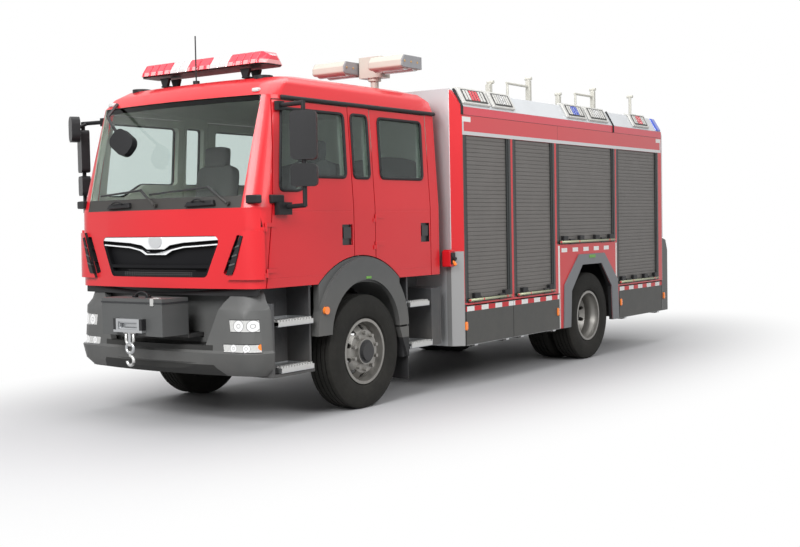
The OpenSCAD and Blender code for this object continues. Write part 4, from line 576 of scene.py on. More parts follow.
def dense(points, step):
    """A closed outline with points added so that none are further apart than two steps."""
    out = []
    for i, p in enumerate(points):
        p, q = Vector(p), Vector(points[(i + 1) % len(points)])
        n = max(1, int((q - p).length / step))
        out += [p.lerp(q, k / n) for k in range(n)]
    return out


def side_x(z):
    """The cab side's half width at height z."""
    return CAB_X - (CAB_X - ROOF_X) * min(1, max(0, (z - BELT_Z) / (CAB_TOP - BELT_Z)))


NOSE_LEAN, SCREEN_LEAN, NOSE_BOW = 0.01, 0.24, 0.1


def nose_y(x, z):
    """The cab front at x and z, from the front axle."""
    lean = NOSE_LEAN * min(1, (z - CAB_Z) / (BELT_Z - CAB_Z))
    lean += SCREEN_LEAN * max(0, (z - BELT_Z) / (CAB_TOP - BELT_Z))
    return NOSE_Y + lean + NOSE_BOW * (x / CAB_X) ** 2


def nose_plate(name, outline, proud, thick, mat, bevel=0.0):
    """A plate that follows the cab's front and stands proud of it: outline is (x, z)."""
    pts = dense(outline, 0.06)
    front = [(p[0], at(nose_y(p[0], p[1])) - proud, p[1]) for p in pts]
    back = [(x, y + thick, z) for x, y, z in front]
    n = len(pts)
    bm = bmesh.new()
    front_face = bm.faces.new([bm.verts.new(p) for p in front])
    back_face = bm.faces.new([bm.verts.new(p) for p in reversed(back)])
    fore, aft = list(front_face.verts), list(reversed(list(back_face.verts)))
    for j in range(n):
        bm.faces.new((fore[j], aft[j], aft[(j + 1) % n], fore[(j + 1) % n]))
    bmesh.ops.triangulate(bm, faces=[front_face, back_face])
    bm.verts.index_update()
    verts = [v.co.copy() for v in bm.verts]
    faces = [tuple(v.index for v in face.verts) for face in bm.faces]
    bm.free()
    piece(name, (verts, faces), mat, bevel=bevel)


def seal(name, outline, r, mat, body, s):
    """A rubber bead on the cab's side along a closed (y, z) outline."""
    pts = dense(rounded(outline, 0.05), 0.05)
    pts.append(pts[0])
    bead = pipe([(s * (side_x(z) + 0.002), at(y), z) for y, z in pts], r)
    piece(name, bead, mat, body, smooth=True)


# Window beads and drip rails: outlines are (y, z) on the cab's side
FRONT_WINDOW = [(-1.119, 1.982), (-0.86, 1.982), (-0.64, 2.105), (-0.21, 2.105), (-0.2, 2.673),
                (-1.038, 2.673)]
PILLAR_WINDOW = [(-0.095, 2.105), (0.145, 2.105), (0.15, 2.678), (-0.09, 2.678)]
REAR_WINDOW = [(0.315, 2.11), (1.005, 2.11), (1.025, 2.668), (0.32, 2.668)]
BEAD_R, PILLAR_BEAD_R, RAIL_R = 0.014, 0.013, 0.019
RAIL_START, RAIL_STEP, RAIL_POINTS = -1.03, 0.1, 24
RAIL_Z = CAB_TOP - 0.02


def window_beads(s, side):
    seal(f"window_bead_front_{side}", FRONT_WINDOW, BEAD_R, rubber, f"door_front_{side}", s)
    seal(f"window_bead_pillar_{side}", PILLAR_WINDOW, PILLAR_BEAD_R, rubber, "chassis", s)
    seal(f"window_bead_rear_{side}", REAR_WINDOW, BEAD_R, rubber, f"door_rear_{side}", s)


def drip_rail(s, side):
    x = s * (side_x(RAIL_Z) + 0.01)
    rail = [(x, at(RAIL_START + RAIL_STEP * k), RAIL_Z) for k in range(RAIL_POINTS)]
    piece(f"drip_rail_{side}", pipe(rail, RAIL_R), rubber, smooth=True)


# Amber side markers: place and carrier, half width and half height, rings as (x, share of the outline)
MARKERS = ((1.534, "chassis"), (3.52, "flap_2"), (5.225, "flap_3"), (6.6, "chassis"))
MARKER_Z, MARKER_W, MARKER_H = 0.63, 0.02, 0.045
MARKER_RINGS = ((BODY_X - 0.001, 1.0), (BODY_X + 0.012, 1.0), (BODY_X + 0.018, 0.7))


def side_markers(s, side):
    lens = rounded(rectangle(MARKER_W, MARKER_H), 0.018)
    for i, (y, body) in enumerate(MARKERS):
        rings = [[(s * x, at(y + u * k), MARKER_Z + v * k) for u, v in lens] for x, k in MARKER_RINGS]
        carrier = body if body == "chassis" else f"{body}_{side}"
        piece(f"side_marker_{i}_{side}", prism(rings), amber, carrier, 0.003)


# Lamp faces in the roof's wedge housings: start, length and lens. A grey louvre holds three lit cells
ROOF_LAMPS = ((1.547, 0.539, lens_red), (2.132, 0.467, lens_clear), (3.816, 0.517, lens_blue),
              (4.395, 0.532, lens_clear), (5.666, 0.503, lens_red))
LAMP_FOOT = Vector((extent("roof_lamps")[HIGH][X], 2.89))
LAMP_HEAD = Vector((1.172, extent("roof_lamps")[HIGH][Z]))
LAMP_MARGIN, CELL_MARGIN, CELL_SHARE = 0.05, 0.02, 0.62
CELLS, LIT_CELLS = 7, slice(2, 5)
# Low and high up the slope, under and over its face
FACE_SLAB, CELL_SLAB = (0.02, 0.165, -0.004, 0.006), (0.035, 0.15, 0.004, 0.011)


def lamp_slab(s, start, end, low, high, under, over):
    rise = (LAMP_HEAD - LAMP_FOOT).normalized()
    out = Vector((rise.y, -rise.x))
    corners = ((low, under), (high, under), (high, over), (low, over))
    ring = [LAMP_FOOT + rise * t + out * lift for t, lift in corners]
    return prism([[(s * q.x, at(y), q.y) for q in ring] for y in (start, end)])


def roof_lamp_faces(s, side):
    for i, (y, length, lit) in enumerate(ROOF_LAMPS):
        start, end = y + LAMP_MARGIN, y + length - LAMP_MARGIN
        face = lamp_slab(s, start, end, *FACE_SLAB)
        piece(f"lamp_face_{i}_{side}", face, flap_grey, bevel=0.003)
        pitch = (end - start - 2 * CELL_MARGIN) / CELLS
        cells = []
        for k in range(CELLS):
            first = start + CELL_MARGIN + pitch * k
            cells.append(lamp_slab(s, first, first + pitch * CELL_SHARE, *CELL_SLAB))
        piece(f"lamp_cells_{i}_{side}", joined(cells[LIT_CELLS]), lit, bevel=0.002)
        plain = cells[:LIT_CELLS.start] + cells[LIT_CELLS.stop:]
        piece(f"lamp_louvres_{i}_{side}", joined(plain), lamp_shell, bevel=0.002)


# Rubber trims over the rim, and a beacon at its rear corner: points are (x, z)
TRIM_PLACES = (BODY_START + 0.002, 5.05)
TRIM_LINE = ((BODY_X + 0.002, EDGE_Z), (BODY_X + 0.002, 2.85), (1.152, 3.032))
BEACON = ((1.25, 2.852), (1.262, 2.87), (1.168, 3.028), (1.15, 3.032))
BEACON_RINGS = ((6.40, -0.012), (6.43, 0.0), (6.52, 0.0), (6.555, -0.03))


def rim_trims(s, side):
    for i, y in enumerate(TRIM_PLACES):
        line = [(s * x, at(y), z) for x, z in TRIM_LINE]
        piece(f"rim_trim_{i}_{side}", pipe(line, 0.014), rubber)
    rings = [[(s * (x + inset), at(y), z) for x, z in BEACON] for y, inset in BEACON_RINGS]
    piece(f"corner_beacon_{side}", prism(rings), lens_blue, bevel=0.006)


def side_box(s, inner, outer, start, end, low, high):
    """A box on one side: inner and outer x, start and end along the truck, low and high."""
    return box(s * inner, s * outer, at(start), at(end), low, high)


# Plain plate on the rear arch, small light on the front arch, roof marker: box, material and bevel
SIDE_BOXES = (("arch_plate", (1.262, 1.27, 4.32, 4.48, 1.225, 1.262), plate_green, 0.003),
              ("arch_light", (1.147, 1.156, 0.0, 0.075, 1.186, 1.208), plate_green, 0.003),
              ("roof_marker", (0.86, 0.93, -1.165, -1.115, 2.81, 2.845), lens_clear, 0.012))


def side_boxes(s, side):
    for name, span, mat, bevel in SIDE_BOXES:
        piece(f"{name}_{side}", side_box(s, *span), mat, bevel=bevel)


# Pull rods under the shutters on black mounts, with red studs: mounts stand at shares of a bay
ROD_X, ROD_R, ROD_RISE, ROD_GAP = 1.268, 0.014, 0.026, 0.01
STUD_R, STUD_L, STUD_GAP = 0.012, 0.016, 0.015
MOUNT_IN, MOUNT_HALF, MOUNT_LOW, MOUNT_HIGH = 1.225, 0.055, 0.008, 0.07
NARROW_MOUNTS, WIDE_MOUNTS = (0.2, 0.9), (0.1, 0.38, 0.66, 0.93)


def pull_rods(s, side):
    rods, studs, mounts = [], [], []
    for start, end, sill in BAYS:
        z = sill + ROD_RISE
        width = end - start
        rods.append(pipe([(s * ROD_X, at(y), z) for y in (start + ROD_GAP, end - ROD_GAP)], ROD_R, 10))
        for y in (start + STUD_GAP, start + 0.32 * width, start + 0.88 * width, end - STUD_GAP):
            studs.append(pipe([(s * ROD_X, at(y), z), (s * (ROD_X + STUD_L), at(y), z)], STUD_R, 10))
        for share in NARROW_MOUNTS if width < 1 else WIDE_MOUNTS:
            y = start + share * width
            mounts.append(side_box(s, MOUNT_IN, ROD_X + 0.004, y - MOUNT_HALF, y + MOUNT_HALF,
                                   z + MOUNT_LOW, z + MOUNT_HIGH))
    piece(f"pull_mounts_{side}", joined(mounts), black_plastic, bevel=0.006)
    piece(f"pull_rods_{side}", joined(rods), rod_olive, smooth=True)
    piece(f"pull_studs_{side}", joined(studs), lens_red, bevel=0.002)


# Toothed treads on the steps: start, end and top
TREADS = ((-1.19, -0.74, 0.88), (-1.16, -0.74, 0.49), (0.735, 1.055, 0.915), (0.745, 1.095, 0.515))
TREAD_IN, TREAD_OUT, TREAD_LOW, TREAD_HIGH = 1.035, 1.128, 0.03, 0.003
TOOTH_PITCH, TOOTH_R, TOOTH_H = 0.036, 0.011, 0.018
TOOTH_ROWS = (TREAD_IN + 0.025, TREAD_OUT - 0.02)


def step_treads(s, side):
    parts = []
    for start, end, z in TREADS:
        parts.append(side_box(s, TREAD_IN, TREAD_OUT, start, end, z - TREAD_LOW, z + TREAD_HIGH))
        count = round((end - start) / TOOTH_PITCH)
        for k in range(count):
            y = start + (k + 0.5) * (end - start) / count
            for x in TOOTH_ROWS:
                parts.append(pipe([(s * x, at(y), z), (s * x, at(y), z + TOOTH_H)], TOOTH_R, 8))
    piece(f"step_treads_{side}", joined(parts), bright_steel)


# Mirror bracket blocks on the windscreen pillar and on the door
FOOT_Z, FOOT_DEPTH = 1.9, 0.03
FOOT_PATH = ((1.0, nose_y(1.0, FOOT_Z)), (1.05, nose_y(1.05, FOOT_Z)), (1.09, -1.382), (1.118, -1.365))
# Share of the depth and height of each corner
FOOT_CORNERS = ((-0.5, 1.87), (1, 1.875), (1, 1.94), (-0.5, 1.945))
DOOR_FOOT = ((1.105, 1.87), (1.145, 1.875), (1.145, 1.94), (1.105, 1.945))
DOOR_FOOT_ENDS = (-1.255, -1.1)


def mirror_feet(s, side):
    rings = []
    for k, (x, y) in enumerate(FOOT_PATH):
        out = Vector((0.1 + 0.2 * k, -1.0 + 0.2 * k)).normalized() * FOOT_DEPTH
        rings.append([(s * (x + out.x * m), at(y + out.y * m), z) for m, z in FOOT_CORNERS])
    piece(f"mirror_foot_pillar_{side}", prism(rings), mirror_black, bevel=0.008)
    rings = [[(s * x, at(y), z) for x, z in DOOR_FOOT] for y in DOOR_FOOT_ENDS]
    piece(f"mirror_foot_door_{side}", prism(rings), mirror_black, f"door_front_{side}", 0.008)


for s, side in SIDES.items():
    for dress in (window_beads, drip_rail, side_markers, roof_lamp_faces, rim_trims, side_boxes, pull_rods,
                  step_treads, mirror_feet):
        dress(s, side)

# Chrome wing with a plain boss, apron and blades over the grille: outlines are (x, z)
WING = [(0, 1.606), (0.735, 1.606), (0.716, 1.577), (0.324, 1.556), (0.173, 1.534), (0.108, 1.5), (0, 1.5)]
BOSS = [(-0.08, 1.602), (0.08, 1.602), (0.08, 1.55), (0.045, 1.512), (-0.045, 1.512), (-0.08, 1.55)]
APRON = [(-1.06, 1.11), (1.06, 1.11), (1.06, 1.2), (-1.06, 1.2)]
BLADE = [(0.7, 1.546), (0.324, 1.524), (0.19, 1.5), (0.12, 1.463), (0, 1.463), (0, 1.453), (0.126, 1.453),
         (0.198, 1.489), (0.33, 1.513), (0.7, 1.535)]
whole_wing = WING + [(-x, z) for x, z in reversed(WING[1:-1])]
nose_plate("grille_wing", whole_wing, -0.004, 0.01, chrome, bevel=0.003)
nose_plate("wing_boss", rounded(BOSS, 0.02), 0.002, 0.008, silver, bevel=0.003)
nose_plate("nose_apron", APRON, -0.05, 0.02, black_plastic)
for s, side in SIDES.items():
    nose_plate(f"grille_blade_{side}", [(s * x, z) for x, z in BLADE], -0.005, 0.008, chrome)

# Dark vents with three louvres on the inner edge of each air deflector: bars end on the vent's slopes
VENT = [(0.966, 1.612), (0.988, 1.604), (0.905, 1.34), (0.88, 1.29), (0.823, 1.285)]
VENT_PROUD, BAR_PROUD, VENT_THICK = 0.042, 0.048, 0.03
VENT_BARS, VENT_BAR_Z, VENT_BAR_PITCH = 3, 1.36, 0.075
INNER_SLOPE, OUTER_SLOPE = 0.434, 0.314
for s, side in SIDES.items():
    nose_plate(f"vent_{side}", [(s * x, z) for x, z in VENT], VENT_PROUD, VENT_THICK, black_plastic)
    for k in range(VENT_BARS):
        z = VENT_BAR_Z + VENT_BAR_PITCH * k
        inner = VENT[4][0] + INNER_SLOPE * (z - VENT[4][1])
        outer = VENT[2][0] + OUTER_SLOPE * (z - VENT[2][1])
        bar = [(inner, z), (outer, z + 0.012), (outer, z + 0.026), (inner + 0.006, z + 0.012)]
        bar = [(s * x, height) for x, height in bar]
        nose_plate(f"vent_bar_{k}_{side}", bar, BAR_PROUD, VENT_THICK, dark_plastic)

# Grab blocks on the scuttle
GRAB_BLOCKS = ((-0.62, -0.3), (0.37, 0.69))
GRIP_Z, GRIP_HALF, GRIP_RISE, GRIP_PROUD, GRIP_R = 1.9, 0.07, 0.022, 0.05, 0.008
for i, (x0, x1) in enumerate(GRAB_BLOCKS):
    block = [(x0, 1.858), (x1, 1.868), (x1 - 0.02, 1.912), (x0 + 0.03, 1.902)]
    nose_plate(f"scuttle_block_{i}", block, 0.034, 0.04, black_plastic, bevel=0.006)
    mid = (x0 + x1) / 2
    front = at(nose_y(mid, GRIP_Z)) - GRIP_PROUD
    grip = [(mid + GRIP_HALF * (k / 2 - 1), front, GRIP_Z + GRIP_RISE * math.sin(math.pi * k / 4))
            for k in range(5)]
    piece(f"scuttle_grip_{i}", pipe(grip, GRIP_R), black_plastic, smooth=True)

# Light bar: red end and middle lenses, clear lenses between them, lamp cells in the lower half
BAR_Y, BAR_Z, BAR_END = -0.77, 3.062, 0.775
BAR_HALF, BAR_H, LENS_LOW = 0.16, 0.14, 0.03
RED_MIDDLE, CLEAR_STEP, RED_START, RED_STEP, RED_CELLS = 0.14, 0.11, 0.36, 0.0888, 4
SEAM = 0.004
# Rings of an end lens, the base and a foot: (x, shrink) or (x, z)
END_LENS = ((0.717, 0.006), (0.723, 0.0), (0.755, 0.03), (BAR_END - 0.001, 0.055))
BASE = ((-BAR_END, 0.06), (0.06 - BAR_END, 0.012), (BAR_END - 0.06, 0.012), (BAR_END, 0.06))
BAR_FOOT = ((0.445, 3.07), (0.56, 3.07), (0.53, 2.99), (0.475, 2.99))
BAR_FOOT_SPAN = (0.05, 0.085)
FOOT_PAD = (0.47, 0.54, BAR_Y - 0.09, BAR_Y + 0.09, 2.984, 3.0)
bar_red = paint("bar_red", (0.62, 0.03, 0.055), 0.16, coat=0.8, vary=0.12, scale=12, regions=[
    ([("z", BAR_Z + 0.032, BAR_Z + 0.066), ("every", "x", 0.02, RED_STEP, 0.6)], (0.62, 0.3, 0.3), 0.2, 0.0)])
bar_clear = paint("bar_clear", (0.62, 0.6, 0.6), 0.12, metal=0.4, coat=0.8, vary=0.15, scale=25)


def bar_ring(x, shrink, low=LENS_LOW, high=BAR_H):
    """The bar's section at x, made smaller by shrink and cut off below low and above high."""
    half = BAR_HALF - shrink
    top = BAR_H - shrink * 0.7
    section = [(-half, 0.02), (-half + 0.01, 0.43 * top), (-half + 0.07, top),
               (half - 0.07, top), (half - 0.01, 0.43 * top), (half, 0.02)]
    return [(x, at(BAR_Y + y), BAR_Z + min(max(z, low), high)) for y, z in section]


def bar_lens(start, end):
    seam = math.copysign(SEAM, end - start)
    return prism([bar_ring(start + seam / 2, 0.006), bar_ring(start + 2 * seam, 0),
                  bar_ring(end - 2 * seam, 0), bar_ring(end - seam / 2, 0.006)])


red_lenses = [bar_lens(-RED_MIDDLE, 0.0), bar_lens(0.0, RED_MIDDLE)]
clear_lenses, bar_feet = [], []
for s in SIDES:
    for k in range(2):
        start = RED_MIDDLE + CLEAR_STEP * k
        clear_lenses.append(bar_lens(s * start, s * (start + CLEAR_STEP)))
    for k in range(RED_CELLS):
        start = RED_START + RED_STEP * k
        red_lenses.append(bar_lens(s * start, s * (start + RED_STEP)))
for s in SIDES:
    red_lenses.append(prism([bar_ring(s * x, shrink) for x, shrink in END_LENS]))
    for lean in (-1, 1):
        rings = [[(s * x, at(BAR_Y + lean * y), z) for x, z in BAR_FOOT] for y in BAR_FOOT_SPAN]
        bar_feet.append(prism(rings))
    bar_feet.append(side_box(s, *FOOT_PAD))
bar_base = prism([bar_ring(x, shrink, 0, 0.032) for x, shrink in BASE])
red_bar = piece("light_bar_red", joined(red_lenses), bar_red, bevel=0.004)
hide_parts("light_bar")
piece("light_bar_clear", joined(clear_lenses), bar_clear, bevel=0.004)
piece("light_bar_base", joined([bar_base] + bar_feet), black_plastic, bevel=0.004)

# Floodlights: end caps with screws, and lens strips below. Outlines are shares of half the depth and height
FLOOD_L = 0.4
FLOOD_LOW, FLOOD_HIGH = extent("floodlights")
FLOOD_Y, FLOOD_Z = middle("floodlights", Y), middle("floodlights", Z)
FLOOD_HALF, FLOOD_RISE = (FLOOD_HIGH[Y] - FLOOD_LOW[Y]) / 2, (FLOOD_HIGH[Z] - FLOOD_LOW[Z]) / 2
CAP_OUTLINE = ((-1, -0.75), (-0.85, -1), (1, -1), (1, 1), (-0.78, 1), (-1, 0.15))
CAP_RINGS = ((-0.002, 0.97), (0.007, 0.97), (0.011, 0.9))
SCREWS, SCREW_R = (-0.7, -0.1, 0.5), 0.012
FLOOD_LENSES, FLOOD_LENS_END, FLOOD_LENS_DROP, FLOOD_LENS_STEPS = ((-0.8, -0.05), (0.1, 0.85)), 0.02, 0.026, 6


def flood_cap(x, way):
    return prism([[(x + way * out, FLOOD_Y + k * FLOOD_HALF * u, FLOOD_Z + k * FLOOD_RISE * v)
                   for u, v in CAP_OUTLINE] for out, k in CAP_RINGS])


def flood_screw(x, way, share):
    y = FLOOD_Y + share * FLOOD_HALF
    return pipe([(x + way * out, y, FLOOD_Z) for out in (0.006, 0.015)], SCREW_R, 8)


def flood_lens(x0, x1, first, last):
    """A lens that hangs below the housing in a shallow arc."""
    arc = [(first + (last - first) * k / FLOOD_LENS_STEPS, math.sin(math.pi * k / FLOOD_LENS_STEPS))
           for k in range(FLOOD_LENS_STEPS + 1)]
    seat = FLOOD_Z - FLOOD_RISE + 0.006
    ring = [(FLOOD_Y + u * FLOOD_HALF, seat - FLOOD_LENS_DROP * drop) for u, drop in arc]
    return prism([[(x, y, z) for y, z in ring] for x in (x0, x1)])


caps, screws, strips = [], [], []
for flood_x in (FLOOD_LOW[X], FLOOD_HIGH[X] - FLOOD_L):
    for x, way in ((flood_x, -1), (flood_x + FLOOD_L, 1)):
        caps.append(flood_cap(x, way))
        screws += [flood_screw(x, way, share) for share in SCREWS]
    lens_ends = (flood_x + FLOOD_LENS_END, flood_x + FLOOD_L - FLOOD_LENS_END)
    strips += [flood_lens(*lens_ends, *span) for span in FLOOD_LENSES]
piece("flood_caps", joined(caps), cap_grey, "floodlights", 0.002)
piece("flood_screws", joined(screws), brass, "floodlights", 0.002)
piece("flood_lenses", joined(strips), lens_clear, "floodlights")

# Seats: crowned pads on boxes
LOOPS = (-1, -0.62, 0, 0.62, 1)
LAST = len(LOOPS) - 1


def crowned(u, crown):
    """A point of the unit pad: faces swell, and sides pull in between the corners."""
    edges = sum(abs(c) == 1 for c in u)
    out = u.copy()
    for axis in range(3):
        a, b = u[axis - 1], u[axis - 2]
        if abs(u[axis]) == 1:
            swell = 1 + crown * (1 - a * a) * (1 - b * b)
            out[axis] *= swell if edges == 1 else 0.95 + 0.05 * min(abs(a), abs(b))
    return out


def cushion(name, mid, half, lean=0.0, crown=0.16):
    """A pad of half sizes round its middle; lean tips it back in degrees."""
    turn = Matrix.Rotation(math.radians(-lean), 3, "X")
    grid, verts, faces = {}, [], []
    for i, u in enumerate(LOOPS):
        for j, v in enumerate(LOOPS):
            for k, w in enumerate(LOOPS):
                if {i, j, k} & {0, LAST}:
                    grid[i, j, k] = len(verts)
                    point = crowned(Vector((u, v, w)), crown)
                    verts.append(Vector(mid) + turn @ Vector([c * h for c, h in zip(point, half)]))
    for axis in range(3):
        for end in (0, LAST):
            for a in range(LAST):
                for b in range(LAST):
                    keys = []
                    for da, db in ((0, 0), (1, 0), (1, 1), (0, 1)):
                        key = [a + da, b + db]
                        key.insert(axis, end)
                        keys.append(grid[tuple(key)])
                    faces.append(tuple(keys))
    pad = piece(name, (verts, faces), fabric, smooth=True)
    pad.modifiers.new("round", "SUBSURF").levels = 2
    pad.modifiers["round"].render_levels = 2


SEAT_X, BENCH_X, BENCH_Y, SEAT_LOW = 0.6, 0.465, 1.22, 1.226
seat_boxes = [box(-0.9, 0.9, at(BENCH_Y - 0.46), at(BENCH_Y - 0.04), SEAT_LOW, 1.47)]
for s, side in SIDES.items():
    seat_boxes.append(box(s * SEAT_X - 0.19, s * SEAT_X + 0.19, at(-0.51), at(-0.11), SEAT_LOW, 1.5))
    cushion(f"seat_pad_{side}", (s * SEAT_X, at(-0.38), 1.575), (0.25, 0.24, 0.075))
    cushion(f"seat_back_{side}", (s * SEAT_X, at(-0.11), 1.95), (0.24, 0.06, 0.32), 9)
    cushion(f"seat_head_{side}", (s * SEAT_X, at(-0.075), 2.365), (0.14, 0.042, 0.095), 5)
    cushion(f"bench_back_{side}", (s * BENCH_X, at(BENCH_Y - 0.065), 1.98), (0.455, 0.055, 0.34), 3)
    cushion(f"bench_pad_{side}", (s * BENCH_X, at(BENCH_Y - 0.28), 1.545), (0.455, 0.24, 0.075))
seat_base = piece("seat_boxes", joined(seat_boxes), interior, bevel=0.012)
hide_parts("seats")

# Mirror glass on the rear faces, which toe in: panes are (low, high), rings are (depth, share of the outline)
MIRROR, TOE, PANE_HALF = Vector((1.367, -1.1)), math.radians(30), 0.09
PANES = ((2.25, 2.6), (2.03, 2.165))
PANE_RINGS = ((0.036, 1.0), (0.043, 1.0), (0.045, 0.94))


def mirror_pane(s, low, high):
    mid = (low + high) / 2
    rings = []
    for depth, k in PANE_RINGS:
        ring = []
        for u, v in rounded(rectangle(PANE_HALF, (high - low) / 2), 0.03):
            q = MIRROR + Matrix.Rotation(TOE, 2) @ Vector((u * k, depth))
            ring.append((s * q.x, at(q.y), mid + v * k))
        rings.append(ring)
    return prism(rings)


for s, side in SIDES.items():
    panes = [mirror_pane(s, low, high) for low, high in PANES]
    piece(f"mirror_glass_{side}", joined(panes), mirror_glass, f"door_front_{side}", 0.001)

# Socket box at the body's front left corner: box and lid, face with its collar, plug
SOCKET_Y, SOCKET_HALF, COVER_HALF = 1.38, 0.045, 0.035
SOCKET_FACE_X = 1.2
socket = [box(1.1, SOCKET_FACE_X, at(SOCKET_Y - SOCKET_HALF), at(SOCKET_Y + SOCKET_HALF), 1.24, 1.4),
          box(1.105, 1.208, at(SOCKET_Y - COVER_HALF), at(SOCKET_Y + COVER_HALF), 1.385, 1.41)]
piece("socket_box", joined(socket), red, bevel=0.008)
collar = pipe([(SOCKET_FACE_X, at(SOCKET_Y), 1.325), (SOCKET_FACE_X + 0.04, at(SOCKET_Y), 1.315)], 0.02, 12)
cover = box(1.195, 1.212, at(SOCKET_Y - COVER_HALF), at(SOCKET_Y + COVER_HALF), 1.27, 1.38)
piece("socket_face", joined([cover, collar]), black_plastic, bevel=0.003)
plug = pipe([(1.205 + 0.008 * k, at(SOCKET_Y), 1.30 - 0.012 * k) for k in range(5)], 0.017, 12)
piece("socket_plug", plug, amber, bevel=0.004)

# Winch: grip and clip on the lid, shackle and hook on the rope
LID_GRIP_Y, LID_GRIP_HALF, LID_GRIP_RISE = -1.66, 0.08, 0.05
ROPE_Y, SHACKLE_Z, SHACKLE_TOP, SHACKLE_R = -1.805, 0.745, 0.815, 0.045
HOOK_Z, HOOK_R, HOOK_TURN, HOOK_STEPS = 0.57, 0.04, math.pi * 1.45, 14


def rope_arc(z, radius, start, turn, steps):
    """Points on an arc in the rope's plane; angles run from the right side of the arc, upwards."""
    angles = [start + turn * k / steps for k in range(steps + 1)]
    return [(radius * math.cos(a), at(ROPE_Y), z + radius * math.sin(a)) for a in angles]


def rope_bar(half, z):
    return [(-half, at(ROPE_Y), z), (half, at(ROPE_Y), z)]


lid_grip = []
for k in range(9):
    a = math.pi * k / 8
    z = WINCH_TOP - 0.004 + LID_GRIP_RISE * math.sin(a)
    lid_grip.append((-LID_GRIP_HALF * math.cos(a), at(LID_GRIP_Y), z))
grip_feet = [box(x - 0.018, x + 0.018, at(LID_GRIP_Y - 0.02), at(LID_GRIP_Y + 0.02), WINCH_TOP - 0.002,
                 WINCH_TOP + 0.016) for x in (-LID_GRIP_HALF, LID_GRIP_HALF)]
piece("winch_grip", joined([pipe(lid_grip, 0.011, 10)] + grip_feet), black_plastic, bevel=0.002)
clip = [box(0.22, 0.29, at(-1.74), at(-1.71), WINCH_TOP - 0.01, WINCH_TOP + 0.008),
        box(0.235, 0.275, at(-1.79), at(-1.72), WINCH_TOP - 0.06, WINCH_TOP + 0.003)]
piece("winch_clip", joined(clip), bright_steel, bevel=0.003)
left_end, right_end = rope_bar(SHACKLE_R, SHACKLE_TOP)
bow = rope_arc(SHACKLE_Z, SHACKLE_R, math.pi, math.pi, 10)
shackle = pipe([left_end] + bow + [right_end], 0.013, 10)
pin = pipe(rope_bar(0.07, SHACKLE_TOP - 0.003), 0.015, 10)
bend = rope_arc(HOOK_Z, HOOK_R, math.pi / 2, -HOOK_TURN, HOOK_STEPS)
hook = pipe([(0.0, at(ROPE_Y), HOOK_Z + 2 * HOOK_R)] + bend, 0.014, 10)
piece("winch_hook", joined([shackle, pin, hook]), bright_steel, smooth=True)

# Ribbed apron below the rear shutter
REAR_APRON_X, REAR_APRON_Y, RIBS = 0.62, 6.5, (0.66, 0.78, 0.9)
rear_apron = [box(-REAR_APRON_X, REAR_APRON_X, at(REAR_APRON_Y), at(REAR_APRON_Y + 0.015), 0.6, 0.985)]
rear_apron += [box(-0.6, 0.6, at(REAR_APRON_Y + 0.012), at(REAR_APRON_Y + 0.022), z, z + 0.03) for z in RIBS]
piece("rear_apron", joined(rear_apron), chassis_paint, bevel=0.004)

# Square sleeves on the roof posts: place and top of each post
POSTS = ((2.464, 3.196), (3.348, 3.308), (4.073, 3.19), (5.001, 3.32))
POST_X, SLEEVE, SLEEVE_LOW, SLEEVE_GAP = 1.0, 0.027, 2.87, 0.025
for s, side in SIDES.items():
    sleeves = [box(s * POST_X - SLEEVE, s * POST_X + SLEEVE, at(y - SLEEVE), at(y + SLEEVE), SLEEVE_LOW,
                   top - SLEEVE_GAP) for y, top in POSTS]
    piece(f"post_sleeves_{side}", joined(sleeves), post_white, bevel=0.006)

# Rounded posts at the body's rear corners: section as (x, y past the body), rings as (z, drop inwards)
CORNER_POST = ((1.25, 0.001), (1.249, 0.03), (1.238, 0.055), (1.215, 0.07), (1.17, 0.076), (1.17, 0.001))
CORNER_RINGS = ((1.43, 0), (2.7, 0), (2.8, 0.006), (2.845, 0.03))
for s, side in SIDES.items():
    rings = [[(s * x, at(BODY_END + y - drop), z) for x, y in CORNER_POST] for z, drop in CORNER_RINGS]
    piece(f"rear_post_{side}", prism(rings), silver, bevel=0.004)

# Floor: grey near the truck as a painted shadow round it, fading to white in the picture away from the truck
FLOOR_HALF, FADE_SPAN = 60, (1.9, 4.9)
floor_mesh = bpy.data.meshes.new("floor")
floor_mesh.from_pydata([(x, y, 0) for x, y in rectangle(FLOOR_HALF, FLOOR_HALF)], [], [(0, 1, 2, 3)])
floor = bpy.data.objects.new("floor", floor_mesh)
scene.collection.objects.link(floor)
ground = Shade("floor")
ray = ground.node("ShaderNodeLightPath").outputs
seen = ground.math("MAXIMUM", ray["Is Camera Ray"], ray["Is Glossy Ray"])
seen = ground.math("MAXIMUM", seen, ray["Is Transmission Ray"])
# Painted shadow: the floor's grey tone, which shows near the truck where the white glow is faded out
floor_shadow_tone = ground.mix(seen, (0.3, 0.3, 0.3), (0.4, 0.4, 0.41))
ground.tree.links.new(floor_shadow_tone, ground.bsdf.inputs["Base Color"])
ground.bsdf.inputs["Roughness"].default_value = 0.6
glow = ground.node("ShaderNodeEmission", {"Color": (1, 1, 1, 1), "Strength": 1.0})
# Distance from the truck in widths of its footprint
shares = {0: ground.coords, 1: (1 / FADE_SPAN[0], 1 / FADE_SPAN[1], 1)}
near = ground.node("ShaderNodeVectorMath", shares, operation="MULTIPLY").outputs[0]
far = ground.node("ShaderNodeVectorMath", {0: near}, operation="LENGTH").outputs["Value"]
fade = ground.node("ShaderNodeMapRange", {0: far, 1: 0.8, 2: 2.0}, interpolation_type="SMOOTHSTEP").outputs[0]
lit_floor = {0: ground.math("MULTIPLY", fade, seen), 1: ground.bsdf.outputs[0], 2: glow.outputs[0]}
both = ground.node("ShaderNodeMixShader", lit_floor)
ground.tree.links.new(both.outputs[0], ground.tree.nodes["Material Output"].inputs[0])
floor.data.materials.append(ground.mat)

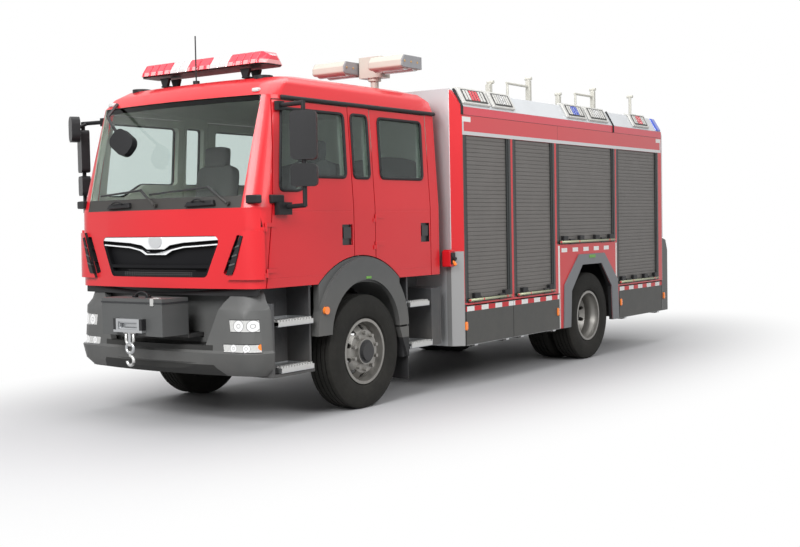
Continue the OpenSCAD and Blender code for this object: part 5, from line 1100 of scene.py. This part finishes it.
# World: white where the camera, metal and glass see it, dimmer as a light
WORLD_LIGHT = 0.34
world = bpy.data.worlds.new("studio")
scene.world = world
world.use_nodes = True
sky = world.node_tree
back = sky.nodes["Background"]
back.inputs["Color"].default_value = (1, 1, 1, 1)
sky_ray = sky.nodes.new("ShaderNodeLightPath").outputs
watched = sky_ray["Is Camera Ray"]
for kind in ("Is Transmission Ray", "Is Glossy Ray"):
    either = sky.nodes.new("ShaderNodeMath")
    either.operation = "MAXIMUM"
    sky.links.new(watched, either.inputs[0])
    sky.links.new(sky_ray[kind], either.inputs[1])
    watched = either.outputs[0]
level = sky.nodes.new("ShaderNodeMapRange")
level.inputs["To Min"].default_value = WORLD_LIGHT
level.inputs["To Max"].default_value = 1.0
sky.links.new(watched, level.inputs["Value"])
sky.links.new(level.outputs[0], back.inputs["Strength"])


def area(name, place, aim, size, power):
    """A soft lamp that looks from its place to its aim."""
    lamp = bpy.data.lights.new(name, "AREA")
    lamp.shape = "RECTANGLE"
    lamp.size, lamp.size_y = size
    lamp.energy = power
    obj = bpy.data.objects.new(name, lamp)
    obj.location = place
    obj.rotation_euler = (Vector(aim) - Vector(place)).to_track_quat("-Z", "Y").to_euler()
    scene.collection.objects.link(obj)


area("key", (2.5, -13, 8), (0, -2, 1.4), (7, 6), 1900)
area("side", (11, -3, 8), (0, 0, 1.2), (8, 6), 900)
area("top", (0, 0, 11), (0, 0, 0), (8, 12), 800)

# Camera: place, angles and focal length solved from the photograph
CAMERA = (7.595, -10.995, 1.694)
YAW, PITCH, ROLL = (math.radians(angle) for angle in (35.39, -2.49, -1.07))
FOCAL_PX, PICTURE_W, SENSOR_W = 1174.3, 800, 36
ahead = Vector((-math.sin(YAW) * math.cos(PITCH), math.cos(YAW) * math.cos(PITCH), math.sin(PITCH)))
level_right = ahead.cross(Vector((0, 0, 1))).normalized()
level_up = level_right.cross(ahead)
right = level_right * math.cos(ROLL) + level_up * math.sin(ROLL)
up = level_up * math.cos(ROLL) - level_right * math.sin(ROLL)
camera = bpy.data.objects.new("camera", bpy.data.cameras.new("camera"))
camera.matrix_world = Matrix.Translation(CAMERA) @ Matrix((right, up, -ahead)).transposed().to_4x4()
camera.data.sensor_width = SENSOR_W
camera.data.lens = FOCAL_PX * SENSOR_W / PICTURE_W
scene.collection.objects.link(camera)
scene.camera = camera
